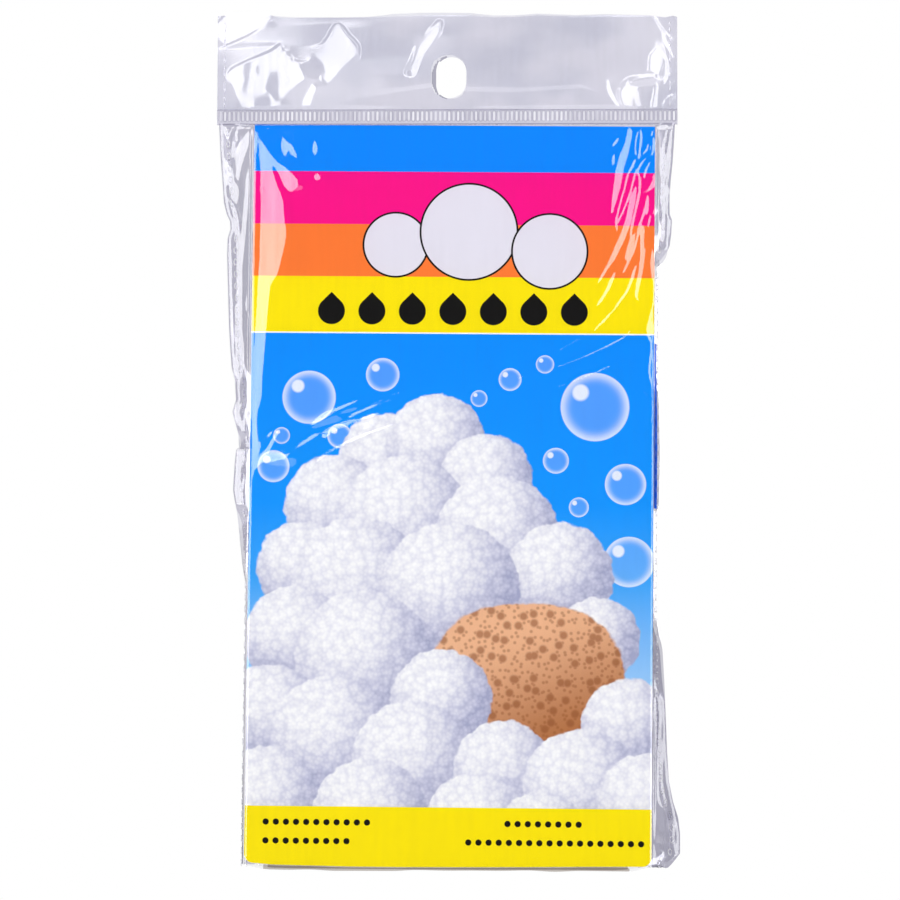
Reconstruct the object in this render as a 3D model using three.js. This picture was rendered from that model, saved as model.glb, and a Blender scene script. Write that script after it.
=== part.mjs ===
// A folded non-woven shower cap behind a printed card, in a clear hang bag with a crimped seal.
// Millimetres. +Z is up, the card faces -Y, and the origin is the middle of the hang hole.

import * as THREE from "three";

// Card: it sets the size of the bag and of the folded cap, and lies a little askew in the bag.
const cardWidth = 104.3;
const cardHeight = 190.8;
const cardThickness = 0.45;
const cardCornerRadius = 2.2;
const cardShift = 1.3; // to the right
const cardTilt = THREE.MathUtils.degToRad(0.43); // clockwise, seen from the front

// Bag: a flat film tube with welded sides, crimped across under the header and open at the bottom.
const bagSideMargin = 7.85; // flat film past each side of the card
const cardTopGap = 0.85; // seal to the card's top edge
const mouthOverhang = 1.6; // card's bottom edge to the bag's mouth
const headerHeight = 24.4;
const sealHeight = 4;
const filmThickness = 0.2;
const finTurn = THREE.MathUtils.degToRad(80); // how far a side fin turns back where it is tucked
const tuckGap = 0.6; // card's side to a tucked fin
const tuckDepth = 3; // how far behind the card a tucked fin starts
const headerCornerRadius = 1;

// How far each side fin is tucked back behind the card, 0 flat to 1 tucked, in even steps from the
// seal down to the mouth. The right side flares out again at the mouth.
const tuckLeft = [0, 0.05, 0.3, 0.45, 0.65, 0.9, 1, 1, 1];
const tuckRight = [0, 0.3, 0.85, 1, 1, 1, 0.95, 0.6, 0.05];

// Hang hole: one obround punched in each ply. The back ply lies a little to the right.
const holeWidth = 9;
const holeHeight = 10.9;
const holeAboveSeal = 2.45; // film left between the hole and the crimped seal
const holeShift = 1.2;

// Welds
const weldThickness = 0.2;
const weldWidth = 1.2;
const weldEdgeMargin = 1.6; // film left outside each side weld
const ribPitch = 1.1;
const ribDepth = 0.22;
const ribCrestWidth = 0.4;

// Cap, folded in thirds like a letter with its gathered hem down
const capSideInset = 3.65; // folded side in from the card's side
const capTopInset = 12; // top of the folded crown below the card's top
const capBottomInset = 1; // frill's free edge above the card's bottom
const sheetThickness = 1.7; // the plies of cloth in one third
const foldGap = 0.6;
const wingOverlap = 36; // how far each folded wing passes the middle
const crownShoulder = 70; // height of the rounded top of the crown
const crownTopShare = 0.5; // width and depth left at the very top
const neckDraw = 3; // how far the elastic draws each side in
const gatherWidth = 11.5; // one gather, crest to crest
const gatherDepth = 0.6; // half the height of a gather at the hem
const casingHeight = 6;
const casingWall = 0.4;
const ruffleHeight = 13;
const elasticHeight = 4;
const elasticThickness = 0.5;

// Clearances
const weldGap = 0.15; // between a weld and the plies that it joins
const fitGap = 0.3; // between neighbours that touch
const slideGap = 0.3; // round the card and the cap, which pull out of the pocket
const capSideRoom = 0.9; // between the cap's folded side and the full depth of the back film
const pocketShoulder = 30; // height over which the back film swells out below the seal

// Facets
const runSteps = 32;
const turnSteps = 4;
const holeSegments = 10;
const pocketSteps = 36;
const swellSteps = 6;

// Widths and heights worked out from the sizes above
const bagWidth = cardWidth + 2 * bagSideMargin;
const capWidth = cardWidth - 2 * capSideInset;
const pocketHeight = cardTopGap + cardHeight + mouthOverhang;
const sealTop = -holeHeight / 2 - holeAboveSeal;
const headerTop = sealTop + headerHeight;
const sealBottom = sealTop - sealHeight;
const pocketTop = sealBottom - fitGap;
const pocketBottom = sealBottom - pocketHeight;
const finStations = [0, fitGap, fitGap + weldWidth, fitGap + weldWidth + weldEdgeMargin];
const finLength = finStations[3];
const cardTop = sealBottom - cardTopGap;
const cardBottom = cardTop - cardHeight;
const crownTop = cardTop - capTopInset;
const ruffleBottom = cardBottom + capBottomInset;
const ruffleTop = ruffleBottom + ruffleHeight;
const casingBottom = ruffleTop + fitGap;
const casingTop = casingBottom + casingHeight;
const crownBottom = casingTop + fitGap;

// Depths: the card lies in the plane of the welds, and the cap lies behind it
const plyMiddle = weldThickness / 2 + weldGap + filmThickness / 2;
const plyOuter = plyMiddle + filmThickness / 2;
const frontFilmMiddle = cardThickness / 2 + slideGap + filmThickness / 2;
const capFront = cardThickness / 2 + slideGap;
const foldPitch = sheetThickness + foldGap;
const capDepth = 2 * foldPitch + sheetThickness + 2 * gatherDepth;
const backFilmMiddle = capFront + capDepth + slideGap + filmThickness / 2;

// Heights at which the pocket's films and welds have their section lines
const pocketRows = [
  pocketTop,
  cardTop + slideGap,
  ...evenly(0, 1, swellSteps).slice(1).map((share) => pocketTop - pocketShoulder * share),
  ...evenly(pocketTop - pocketShoulder, pocketBottom, pocketSteps).slice(1),
];

const filmMaterial = new THREE.MeshStandardMaterial({
  color: 0xd5d3e4,
  roughness: 0.08,
  metalness: 0,
  transparent: true,
  opacity: 0.3,
});
const weldMaterial = new THREE.MeshStandardMaterial({
  color: 0xe6e4f0,
  roughness: 0.3,
  metalness: 0,
  transparent: true,
  opacity: 0.6,
});
const cardMaterial = new THREE.MeshStandardMaterial({ color: 0x1f9bf5, roughness: 0.35, metalness: 0 });
const clothMaterial = new THREE.MeshStandardMaterial({ color: 0xecebf2, roughness: 0.9, metalness: 0 });
const elasticMaterial = new THREE.MeshStandardMaterial({ color: 0xf2efe6, roughness: 0.7, metalness: 0 });

// A flat piece cut to an outline in the XZ plane, from its front face backwards.
function plate(name, outline, thickness, frontY, material) {
  const geometry = new THREE.ExtrudeGeometry(outline, {
    depth: thickness,
    bevelEnabled: false,
    curveSegments: holeSegments,
  });
  const mesh = new THREE.Mesh(geometry, material);
  mesh.name = name;
  mesh.rotation.x = Math.PI / 2;
  mesh.position.y = frontY + thickness;
  return mesh;
}

// A rectangle centred on X, with one radius for its top corners and one for its bottom corners.
function roundedOutline(width, bottom, top, topRadius, bottomRadius) {
  const half = width / 2;
  const shape = new THREE.Shape();
  shape.moveTo(-half + bottomRadius, bottom);
  shape.lineTo(half - bottomRadius, bottom);
  if (bottomRadius > 0) {
    shape.absarc(half - bottomRadius, bottom + bottomRadius, bottomRadius, -Math.PI / 2, 0);
  }
  shape.lineTo(half, top - topRadius);
  if (topRadius > 0) {
    shape.absarc(half - topRadius, top - topRadius, topRadius, 0, Math.PI / 2);
  }
  shape.lineTo(-half + topRadius, top);
  if (topRadius > 0) {
    shape.absarc(-half + topRadius, top - topRadius, topRadius, Math.PI / 2, Math.PI);
  }
  shape.lineTo(-half, bottom + bottomRadius);
  if (bottomRadius > 0) {
    shape.absarc(-half + bottomRadius, bottom + bottomRadius, bottomRadius, Math.PI, 1.5 * Math.PI);
  }
  return shape;
}

// An upright obround hole centred on the origin's height.
function hangHole(centreX) {
  const radius = holeWidth / 2;
  const rise = holeHeight / 2 - radius;
  const hole = new THREE.Path();
  hole.absarc(centreX, rise, radius, 0, Math.PI);
  hole.absarc(centreX, -rise, radius, Math.PI, 2 * Math.PI);
  return hole;
}

// Joins two grids of points, rows by columns, into one closed sheet.
function sheetSolid(name, near, far, material) {
  const rows = near.length;
  const columns = near[0].length;
  const points = [...near.flat(), ...far.flat()];
  const triangles = [];
  const nearAt = (row, column) => row * columns + column;
  const farAt = (row, column) => rows * columns + row * columns + column;
  const quad = (a, b, c, d) => triangles.push(a, b, c, a, c, d);

  for (let row = 0; row + 1 < rows; row += 1) {
    for (let column = 0; column + 1 < columns; column += 1) {
      const [below, right] = [row + 1, column + 1];
      quad(nearAt(row, column), nearAt(row, right), nearAt(below, right), nearAt(below, column));
      quad(farAt(row, column), farAt(below, column), farAt(below, right), farAt(row, right));
    }
    const end = columns - 1;
    quad(nearAt(row, 0), nearAt(row + 1, 0), farAt(row + 1, 0), farAt(row, 0));
    quad(nearAt(row, end), farAt(row, end), farAt(row + 1, end), nearAt(row + 1, end));
  }
  for (let column = 0; column + 1 < columns; column += 1) {
    const last = rows - 1;
    quad(nearAt(0, column), farAt(0, column), farAt(0, column + 1), nearAt(0, column + 1));
    quad(nearAt(last, column), nearAt(last, column + 1), farAt(last, column + 1), farAt(last, column));
  }
  return facetedMesh(name, points, triangles, material);
}

// A mesh from points and triangles, turned to face outwards.
function facetedMesh(name, points, triangles, material) {
  const geometry = new THREE.BufferGeometry().setFromPoints(points);
  let volume = 0;
  for (let i = 0; i < triangles.length; i += 3) {
    const [a, b, c] = triangles.slice(i, i + 3).map((index) => points[index]);
    volume += a.dot(b.clone().cross(c));
  }
  geometry.setIndex(volume > 0 ? triangles : triangles.reverse());
  geometry.computeVertexNormals();
  const mesh = new THREE.Mesh(geometry, material);
  mesh.name = name;
  return mesh;
}

// A section line moved to its left by a distance, mitred at its corners.
function offsetLine(line, distance) {
  const normals = line.slice(1).map((point, i) => {
    const along = point.clone().sub(line[i]).normalize();
    return new THREE.Vector2(-along.y, along.x);
  });
  return line.map((point, i) => {
    const before = normals[Math.max(i - 1, 0)];
    const after = normals[Math.min(i, normals.length - 1)];
    const mitre = before.clone().add(after).normalize();
    return point.clone().addScaledVector(mitre, distance / mitre.dot(after));
  });
}

// A sheet of one thickness from its section lines in XY, one at each height.
function filmSheet(name, heights, lines, thickness, material) {
  const side = (distance) => lines.map((line, row) => {
    return offsetLine(line, distance).map((point) => new THREE.Vector3(point.x, point.y, heights[row]));
  });
  return sheetSolid(name, side(-thickness / 2), side(thickness / 2), material);
}

function evenly(start, end, steps) {
  return Array.from({ length: steps + 1 }, (_, i) => THREE.MathUtils.lerp(start, end, i / steps));
}

// How far a side fin is tucked at a height of the pocket.
function tuckAt(side, z) {
  const table = side < 0 ? tuckLeft : tuckRight;
  const curve = new THREE.SplineCurve(table.map((share, i) => new THREE.Vector2(i, share)));
  const drop = THREE.MathUtils.clamp((sealBottom - z) / pocketHeight, 0, 1);
  return THREE.MathUtils.clamp(curve.getPoint(drop).y, 0, 1);
}

// The furthest reach of the card to one side, with room to slide.
function cardEdge(side) {
  const halfWidth = cardWidth / 2 * Math.cos(cardTilt) + cardHeight / 2 * Math.sin(cardTilt);
  return halfWidth + side * cardShift + slideGap;
}

// A point of a side fin in XY: along it from its foot, and off its middle plane towards the back.
function finPoint(side, z, along, off) {
  const tuck = tuckAt(side, z);
  const turn = tuck * finTurn;
  const reach = THREE.MathUtils.lerp(bagWidth / 2 - finLength, cardEdge(side) + tuckGap, tuck);
  return new THREE.Vector2(
    side * (reach + along * Math.cos(turn) - off * Math.sin(turn)),
    tuckDepth * tuck + along * Math.sin(turn) + off * Math.cos(turn),
  );
}

function headerPly(name, side) {
  const outline = roundedOutline(bagWidth, sealTop + fitGap, headerTop, headerCornerRadius, 0);
  outline.holes.push(hangHole(side > 0 ? holeShift : 0));
  return plate(name, outline, filmThickness, side * plyMiddle - filmThickness / 2, filmMaterial);
}

function headerWeld(name, side) {
  const outer = bagWidth / 2 - weldEdgeMargin;
  const top = headerTop - headerCornerRadius;
  const outline = new THREE.Shape();
  outline.moveTo(side * (outer - weldWidth), sealTop + fitGap);
  outline.lineTo(side * outer, sealTop + fitGap);
  outline.lineTo(side * outer, top);
  outline.lineTo(side * (outer - weldWidth), top);
  return plate(name, outline, weldThickness, -weldThickness / 2, weldMaterial);
}

function pocketWeld(name, side) {
  const lines = pocketRows.map((z) => finStations.slice(1, 3).map((along) => {
    return finPoint(side, z, along, 0);
  }));
  return filmSheet(name, pocketRows, lines, weldThickness, weldMaterial);
}

// The crimped seal: one fused strip whose upright ribs show on both faces.
function crimpedSeal() {
  const ribs = Math.floor(bagWidth / ribPitch);
  const start = -ribs * ribPitch / 2;
  const crest = plyOuter;
  const root = plyOuter - ribDepth;
  const flank = (ribPitch - ribCrestWidth) / 4;
  const front = [];
  for (let i = 0; i < ribs; i += 1) {
    const left = start + i * ribPitch;
    front.push(new THREE.Vector2(left + flank, -root));
    front.push(new THREE.Vector2(left + 2 * flank, -crest));
    front.push(new THREE.Vector2(left + 2 * flank + ribCrestWidth, -crest));
    front.push(new THREE.Vector2(left + 3 * flank + ribCrestWidth, -root));
  }
  const back = front.map((point) => new THREE.Vector2(point.x, point.y + root + crest)).reverse();
  const outline = new THREE.Shape([
    new THREE.Vector2(-bagWidth / 2, -root),
    ...front,
    new THREE.Vector2(bagWidth / 2, -root),
    new THREE.Vector2(bagWidth / 2, crest),
    ...back,
    new THREE.Vector2(-bagWidth / 2, crest),
  ]);
  const geometry = new THREE.ExtrudeGeometry(outline, { depth: sealHeight, bevelEnabled: false });
  const mesh = new THREE.Mesh(geometry, weldMaterial);
  mesh.name = "crimped_seal";
  mesh.position.z = sealBottom;
  return mesh;
}

// The front film lies flat on the card and runs to the fins at its sides.
function pocketFrontFilm() {
  const lines = pocketRows.map((z, row) => {
    const depth = row === 0 ? -plyMiddle : -frontFilmMiddle;
    const overCard = evenly(-cardEdge(-1), cardEdge(1), 4).map((x) => new THREE.Vector2(x, depth));
    const fin = (side) => finStations.map((along) => finPoint(side, z, along, -plyMiddle));
    return [...fin(-1).reverse(), ...overCard, ...fin(1)];
  });
  return filmSheet("pocket_front_film", pocketRows, lines, filmThickness, filmMaterial);
}

// The back film swells round the folded cap, from the seal down and in from each side fin.
function pocketBackFilm() {
  const full = capWidth / 2 + capSideRoom;
  const lines = pocketRows.map((z) => {
    const rise = Math.sin(Math.PI / 2 * Math.min((pocketTop - z) / pocketShoulder, 1));
    const half = (side) => {
      const fin = finStations.map((along) => finPoint(side, z, along, plyMiddle));
      const foot = fin[0];
      const swell = evenly(0, 1, swellSteps).slice(1).map((share) => new THREE.Vector2(
        THREE.MathUtils.lerp(foot.x, side * full, share),
        THREE.MathUtils.lerp(foot.y, backFilmMiddle, rise * Math.sin(Math.PI / 2 * share)),
      ));
      return [...fin.reverse(), ...swell];
    };
    return [...half(-1), ...half(1).reverse()];
  });
  return filmSheet("pocket_back_film", pocketRows, lines, filmThickness, filmMaterial);
}

function insertCard() {
  const outline = roundedOutline(cardWidth, -cardHeight / 2, cardHeight / 2, 0, cardCornerRadius);
  const askew = new THREE.Group();
  askew.position.set(cardShift, 0, (cardTop + cardBottom) / 2);
  askew.rotation.y = cardTilt;
  askew.add(plate("insert_card", outline, cardThickness, -cardThickness / 2, cardMaterial));
  return askew;
}

// The middle line of a sheet folded in thirds, seen from above: the inner wing, the back panel and
// the front wing. Each point has the direction in which the sheet runs there.
function letterFold(halfWidth) {
  const left = halfWidth - foldPitch / 2 - sheetThickness / 2;
  const right = halfWidth - foldPitch - sheetThickness / 2;
  const run = (from, to, y, heading) => evenly(from, to, runSteps).map((x) => ({ x, y, heading }));
  const turn = (x, y, radius, start) => evenly(start, start - Math.PI, turnSteps).map((heading) => ({
    x: x - radius * Math.sin(heading),
    y: y + radius * Math.cos(heading),
    heading,
  }));
  const wingEnd = Math.min(wingOverlap, right - fitGap);
  return [
    ...run(wingEnd, -left, 0, Math.PI).slice(0, -1),
    ...turn(-left, foldPitch / 2, foldPitch / 2, Math.PI),
    ...run(-left, right, foldPitch, 0).slice(1, -1),
    ...turn(right, 0, foldPitch, 0),
    ...run(right, -wingEnd, -foldPitch, -Math.PI).slice(1),
  ];
}

// A point of the folded cloth, off the middle line by an offset, with depth and gathers applied.
function clothPoint(station, offset, z, depthShare, gather) {
  const x = station.x - Math.sin(station.heading) * offset;
  const across = station.y + Math.cos(station.heading) * offset + foldPitch + sheetThickness / 2;
  const ripple = gather * (1 + Math.cos(2 * Math.PI * x / gatherWidth));
  return new THREE.Vector3(x, capFront + depthShare * across + ripple, z);
}

// One line of points along the folded cloth.
function clothLine(halfWidth, offset, z, depthShare, gather) {
  return letterFold(halfWidth).map((station) => clothPoint(station, offset, z, depthShare, gather));
}

const neckHalfWidth = capWidth / 2 - neckDraw;

function capCrown() {
  const straight = crownTop - crownShoulder;
  const heights = [
    crownBottom,
    THREE.MathUtils.lerp(crownBottom, straight, 0.3),
    straight,
    ...[0.5, 0.83, 1].map((share) => straight + crownShoulder * share),
  ];
  const side = (offset) => heights.map((z) => {
    const neck = THREE.MathUtils.clamp((heights[1] - z) / (heights[1] - crownBottom), 0, 1);
    const top = THREE.MathUtils.clamp((z - straight) / crownShoulder, 0, 1);
    const shrink = Math.sqrt(1 - (1 - crownTopShare ** 2) * top ** 2);
    const flat = 1 - (1 - crownTopShare) * top ** 2;
    const halfWidth = THREE.MathUtils.lerp(capWidth / 2, neckHalfWidth, neck) * shrink;
    const gather = gatherDepth * THREE.MathUtils.clamp((straight - z) / (straight - crownBottom), 0, 1);
    return clothLine(halfWidth, offset, z, flat, gather);
  });
  return sheetSolid("cap_crown", side(-sheetThickness / 2), side(sheetThickness / 2), clothMaterial);
}

// The hem's casing: a flat tube of cloth, open at both ends of the fold, that holds the elastic.
function capHemCasing() {
  const half = sheetThickness / 2;
  const section = [
    [-half, casingBottom],
    [half, casingBottom],
    [half, casingTop],
    [-half, casingTop],
  ];
  const bore = [
    [-half + casingWall, casingBottom + casingWall],
    [half - casingWall, casingBottom + casingWall],
    [half - casingWall, casingTop - casingWall],
    [-half + casingWall, casingTop - casingWall],
  ];
  const lines = [...section, ...bore].map(([offset, z]) => {
    return clothLine(neckHalfWidth, offset, z, 1, gatherDepth);
  });
  const length = lines[0].length;
  const corners = section.length;
  const triangles = [];
  const quad = (a, b, c, d) => triangles.push(a, b, c, a, c, d);
  for (let corner = 0; corner < corners; corner += 1) {
    const next = (corner + 1) % corners;
    const [outer, outerNext] = [corner * length, next * length];
    const [inner, innerNext] = [(corners + corner) * length, (corners + next) * length];
    for (let i = 0; i + 1 < length; i += 1) {
      quad(outer + i, outerNext + i, outerNext + i + 1, outer + i + 1);
      quad(inner + i, inner + i + 1, innerNext + i + 1, innerNext + i);
    }
    const end = length - 1;
    quad(outer, inner, innerNext, outerNext);
    quad(outer + end, outerNext + end, innerNext + end, inner + end);
  }
  return facetedMesh("cap_hem_casing", lines.flat(), triangles, clothMaterial);
}

function capElastic() {
  const middle = (casingBottom + casingTop) / 2;
  const heights = [middle + elasticHeight / 2, middle - elasticHeight / 2];
  const side = (offset) => heights.map((z) => clothLine(neckHalfWidth, offset, z, 1, gatherDepth));
  const half = elasticThickness / 2;
  return sheetSolid("cap_elastic", side(-half), side(half), elasticMaterial);
}

// The frill below the elastic spreads again towards its free edge.
function capRuffle() {
  const heights = evenly(ruffleTop, ruffleBottom, 2);
  const side = (offset) => heights.map((z) => {
    const flare = (ruffleTop - z) / ruffleHeight;
    const halfWidth = THREE.MathUtils.lerp(neckHalfWidth, capWidth / 2, flare);
    return clothLine(halfWidth, offset, z, 1, gatherDepth);
  });
  return sheetSolid("cap_ruffle", side(-sheetThickness / 2), side(sheetThickness / 2), clothMaterial);
}

function bag() {
  const group = new THREE.Group();
  group.add(headerPly("header_front_ply", -1), headerPly("header_back_ply", 1));
  group.add(headerWeld("header_weld_left", -1), headerWeld("header_weld_right", 1));
  group.add(crimpedSeal(), pocketFrontFilm(), pocketBackFilm());
  group.add(pocketWeld("pocket_weld_left", -1), pocketWeld("pocket_weld_right", 1));
  return group;
}

function cap() {
  const group = new THREE.Group();
  group.add(capCrown(), capHemCasing(), capElastic(), capRuffle());
  return group;
}

const pack = new THREE.Group();
pack.add(bag(), insertCard(), cap());

export default pack;
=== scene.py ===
import math

import bpy
import numpy as np
from mathutils import Matrix, Vector


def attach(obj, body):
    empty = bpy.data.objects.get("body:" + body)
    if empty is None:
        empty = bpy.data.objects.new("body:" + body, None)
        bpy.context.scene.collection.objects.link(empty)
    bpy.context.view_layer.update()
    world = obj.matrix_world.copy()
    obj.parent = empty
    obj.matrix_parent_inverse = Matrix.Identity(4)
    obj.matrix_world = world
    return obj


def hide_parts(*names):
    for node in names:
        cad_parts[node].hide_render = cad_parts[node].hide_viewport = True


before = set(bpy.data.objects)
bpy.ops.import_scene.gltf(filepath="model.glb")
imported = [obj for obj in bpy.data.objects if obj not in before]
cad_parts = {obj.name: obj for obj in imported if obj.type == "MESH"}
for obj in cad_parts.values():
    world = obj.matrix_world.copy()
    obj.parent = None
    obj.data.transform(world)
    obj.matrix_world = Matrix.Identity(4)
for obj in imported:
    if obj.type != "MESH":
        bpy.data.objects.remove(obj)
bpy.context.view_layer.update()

# A folded non-woven shower cap behind a printed card, in a clear hang bag with a crimped seal.
# Sizes are in millimetres, in the frame of the part's source: +Z is up, the card faces -Y and the
# origin is the middle of the hang hole.

MM = 0.001
TAU = 2 * math.pi

# Card
CARD_WIDTH = 104.3
CARD_HEIGHT = 190.8
CARD_THICKNESS = 0.45
CARD_CORNER = 2.2
CARD_SHIFT = 1.3
CARD_TILT = math.radians(0.43)
CARD_TOP = -12.75
CARD_BOTTOM = CARD_TOP - CARD_HEIGHT
CARD_MIDDLE = CARD_TOP - CARD_HEIGHT / 2
CARD_FOOT_CUTS = 40

# Bag
HALF_WIDTH = 60.0
HEADER_TOP = 16.5
SEAL_TOP = -8.55
SEAL_LIP = -12.5
SEAL_DEPTH = 0.2
LIP_FADE = (-11.4, -11.8)
POCKET_TOP = -12.2
MOUTH = -205.15
PLY = 0.35
FRONT_FILM = 0.625
BACK_FILM = 8.425
WRAP_GAP = 0.12
FIN_LENGTH = 3.1
FIN_FOOT = 0.3
FIN_ROOT = 0.57
FIN_TIP = 0.6
WELD_WIDTH = 1.2
TUCK_DEPTH = 1.6
POCKET_SHOULDER = 30.0
SWELL_HALF_WIDTH = 49.4
HOLE_HEIGHT = 10.9
HOLE_FRONT = (0.5, 9.0)
HOLE_BACK = (1.17, 7.7)
HOLE_BLOCK = (0.86, 0.44)
HOLE_REACH = 1.1
HEADER_WELD = 58.1
RIB_PITCH = 1.17
RIB_RADIUS = 0.36
RIB_STRAIGHT = 0.95
RIB_MIDDLE = -10.27
RIB_RISE = 0.22
HEM_GAP = 0.15
HEM_TOP = CARD_BOTTOM - HEM_GAP
# X span of the hem that is painted brown as shadow
HEM_SHADE = (-46.5, 47.0)
HEM_ROWS = 8
HEM_WAVES = 0.5
ASKEW_BELOW = -170.0
# Regions of the pocket's film, in the order of their materials, and where they lie. The hem's brown
# is painted shadow.
ON_CONTENTS, LOOSE, HEM_PAINTED_SHADOW, BUNCHED_AND_SHADED, BLUE_REFLECTION = range(5)
CARD_MARGIN = 0.1
# Loose film on the right below this height is greyer, partly for its layers and partly painted
# shade
BUNCHED_BELOW = -140.0
# Where film beside the card is painted blue as a reflection of the card: a span of Z and a depth
BLUE_REFLECTION_SPAN = (-69.9, -112.4)
BLUE_REFLECTION_DEPTH = 2.0
# How far the film stands out in waves, creases, a fold and a curled rim, and where some of it fades
FRONT_WAVES = 0.12
MARGIN_CREASES = 0.08
BACK_WAVES = 0.25
BACK_CREASES = 0.55
SHOULDER_CREASES = 0.9
SHOULDER_FADE = (-75, -30)
BACK_MARGIN_CREASES = 0.35
BACK_MARGIN_FADE = (46, 52)
HEADER_WAVES = (0.8, 0.25)
HEADER_FOLD_RISE = 0.5
HEADER_CURL = 0.1
# Beads of the welds: length, width and height of one, where a row starts and ends, and the pitch
WELD_DASH = (3.0, 0.5, 0.3)
DASH_ROW = (SEAL_TOP + 2.2, HEADER_TOP - 1.8, 3.9)
WELD_BEAD = (2.3, 1.15, 0.3)
BEAD_ROW = (POCKET_TOP - 2.4, MOUTH + 1.4, -3.1)
BEAD_CORNERS = 14

# Cap
CAP_HALF_WIDTH = 48.5
NECK_HALF_WIDTH = 45.5
NECK_LENGTH = 45.0
CROWN_TOP = -24.75
CROWN_SHOULDER = 70.0
CROWN_TOP_SHARE = 0.5
CASING_TOP = -183.25
CASING_BOTTOM = -189.25
FRILL_BOTTOM = -202.55
FRILL_WAVE = 0.9
FRILL_WAVE_LENGTH = 13.0
SHEET_DEPTH = 1.7
FOLD_PITCH = 2.3
CAP_FRONT = 0.525
WING_OVERLAP = 36.0
WING_POINTS = 56
BACK_POINTS = 130
GATHER_LOW = -0.25
GATHER_HIGH = 1.4
GATHER_LENGTH = 125.0
ELASTIC_GATHER = (1.2, 11.5)
BROAD_PLEAT = 9.5
FINE_PLEAT = 4.2
CROWN_DOME = 8.0
STITCH_LENGTH = 1.9
STITCH_RADIUS = 0.2
STITCH_PITCH = 2.7
STITCH_LIFT = 0.22
SEAM_END = 2.0

# Grids of the soft pieces, as spans of start, end and spacing
FRONT_ROWS = (
    (POCKET_TOP, CARD_TOP, 0.2), (CARD_TOP, -66, 0.42), (-66, -103, 0.36), (-103, -150, 1.4),
    (-150, HEM_TOP, 0.9), (HEM_TOP, MOUTH, 0.4),
)
FRONT_COLUMNS = (
    (0, 23, 0.4), (23, 44, 0.6), (44, 62, 1.5), (62, 80, 0.8), (80, 88, 0.36), (88, 105, 0.25),
)
BACK_ROWS = (
    (POCKET_TOP, -60, 0.8), (-60, -170, 1.0), (-170, HEM_TOP, 0.9), (HEM_TOP, MOUTH, 0.4),
)
CLOTH_ROWS = (
    (CROWN_TOP, CROWN_TOP - 10, 0.8), (CROWN_TOP - 10, CASING_TOP + 6, 1.2),
    (CASING_TOP + 6, FRILL_BOTTOM, 0.5),
)
HEADER_CELL = 0.3
SEAL_CELL = (0.14, 0.2)
# Steps of a front fin's section, at its tip, on its face and round the card, and the points of it
# that are worn round; steps of the back's section, on its fin, up the swell and across
FIN_STEPS = (3, 8, 21)
FIN_ROUNDED = 42
BACK_STEPS = (7, 25, 122)

# How far the card's bottom edge bows down, by X from its middle, and the mouth's edge sags, by X
CARD_BOW = (
    (-52, 0.4), (-48, 0.7), (-45, 0.95), (-35, 1.1), (-25, 1.25), (-12, 1.25), (0, 1.15), (14, 1.0),
    (28, 0.8), (42, 0.6), (52, 0.5),
)
MOUTH_SAG = (
    (-60, -1.4), (-54, -1.4), (-52, -1.1), (-49, -0.6), (-47, -0.1), (-45, 0.1), (-39, 0.25),
    (-13, 0.35), (8, 0.45), (28, 0.4), (43, 0.5), (46.5, 0.35), (49, 0), (51, -0.5), (53, -1.15),
    (55, -1.15), (56.5, -0.3), (60, 0.1),
)

# Outer edge of the side fins: Z and X down each side
FIN_EDGE_LEFT = (
    (-10.95, -59.61), (-12.27, -59.47), (-20.97, -59.01), (-27.56, -58.46), (-32.82, -58.08),
    (-36.1, -57.25), (-37.81, -56.4), (-39.91, -56.25), (-42.27, -56.99), (-46.47, -57.11),
    (-56.43, -56.77), (-65.84, -56.44), (-70.28, -56.15), (-76.02, -55.71), (-79.41, -54.78),
    (-84.62, -54.48), (-87.74, -55.36), (-90.34, -54.69), (-93.72, -53.76), (-96.84, -53.61),
    (-97.62, -54.38), (-101.51, -54.74), (-108, -55.08), (-110.59, -54.67), (-115.77, -53.59),
    (-122.23, -53.03), (-127.4, -52.47), (-132.56, -51.27), (-137.71, -51.23), (-146.73, -51.5),
    (-162.14, -51.69), (-187.73, -51.99), (-197.93, -51.99), (-204.04, -51.38),
)
FIN_EDGE_RIGHT = (
    (-11.16, 59.99), (-12.48, 59.33), (-16.95, 59.06), (-22.2, 58.71), (-27.45, 58.17),
    (-32.17, 57.85), (-36.1, 57.89), (-37.68, 58.48), (-41.34, 58.29), (-44.48, 57.81),
    (-47.09, 56.64), (-49.71, 54.43), (-58.58, 54.02), (-71.61, 53.99), (-78, 54.25), (-84, 54.8),
    (-97, 55.1), (-110.5, 54.9), (-112.2, 54.8), (-114.5, 53.6), (-122.12, 53.47), (-136.27, 53.31),
    (-141.41, 54.06), (-149.11, 55.58), (-161.91, 56.31), (-174.69, 56.79), (-182.33, 57.28),
    (-187.43, 58.29), (-191.24, 59.55), (-195.05, 60.05), (-200.13, 60.03), (-202.68, 57.99),
    (-204.2, 56.45),
)

# The header's upper edge, how far its front ply stops short of it, and a soft fold above the seal
HEADER_RIM = (
    (-60.05, 16.39), (-55.41, 16.62), (-47.92, 16.73), (-41.24, 16.16), (-28.02, 16.1),
    (-17.35, 16.21), (-6.84, 16.63), (5.96, 16.62), (12.23, 16.03), (17.58, 16.12), (23.71, 16.58),
    (33.36, 16.21), (41.44, 16.51), (52.91, 16.32), (56.82, 15.86), (58.9, 16.28), (60.46, 15.8),
)
FRONT_RIM_DROP = ((-60, 0.1), (-49, 0.15), (-44, 0.85), (-21, 0.85), (-14, 0.2), (60, 0.2))
HEADER_FOLD = (
    (-60, -8), (-34, -7.6), (-24, -5), (-12, -3.5), (-3, -2.2), (4, -3.4), (19, -3.7), (35, -2.7),
    (42, -5.2), (50, -7.2), (60, -8),
)

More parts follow.
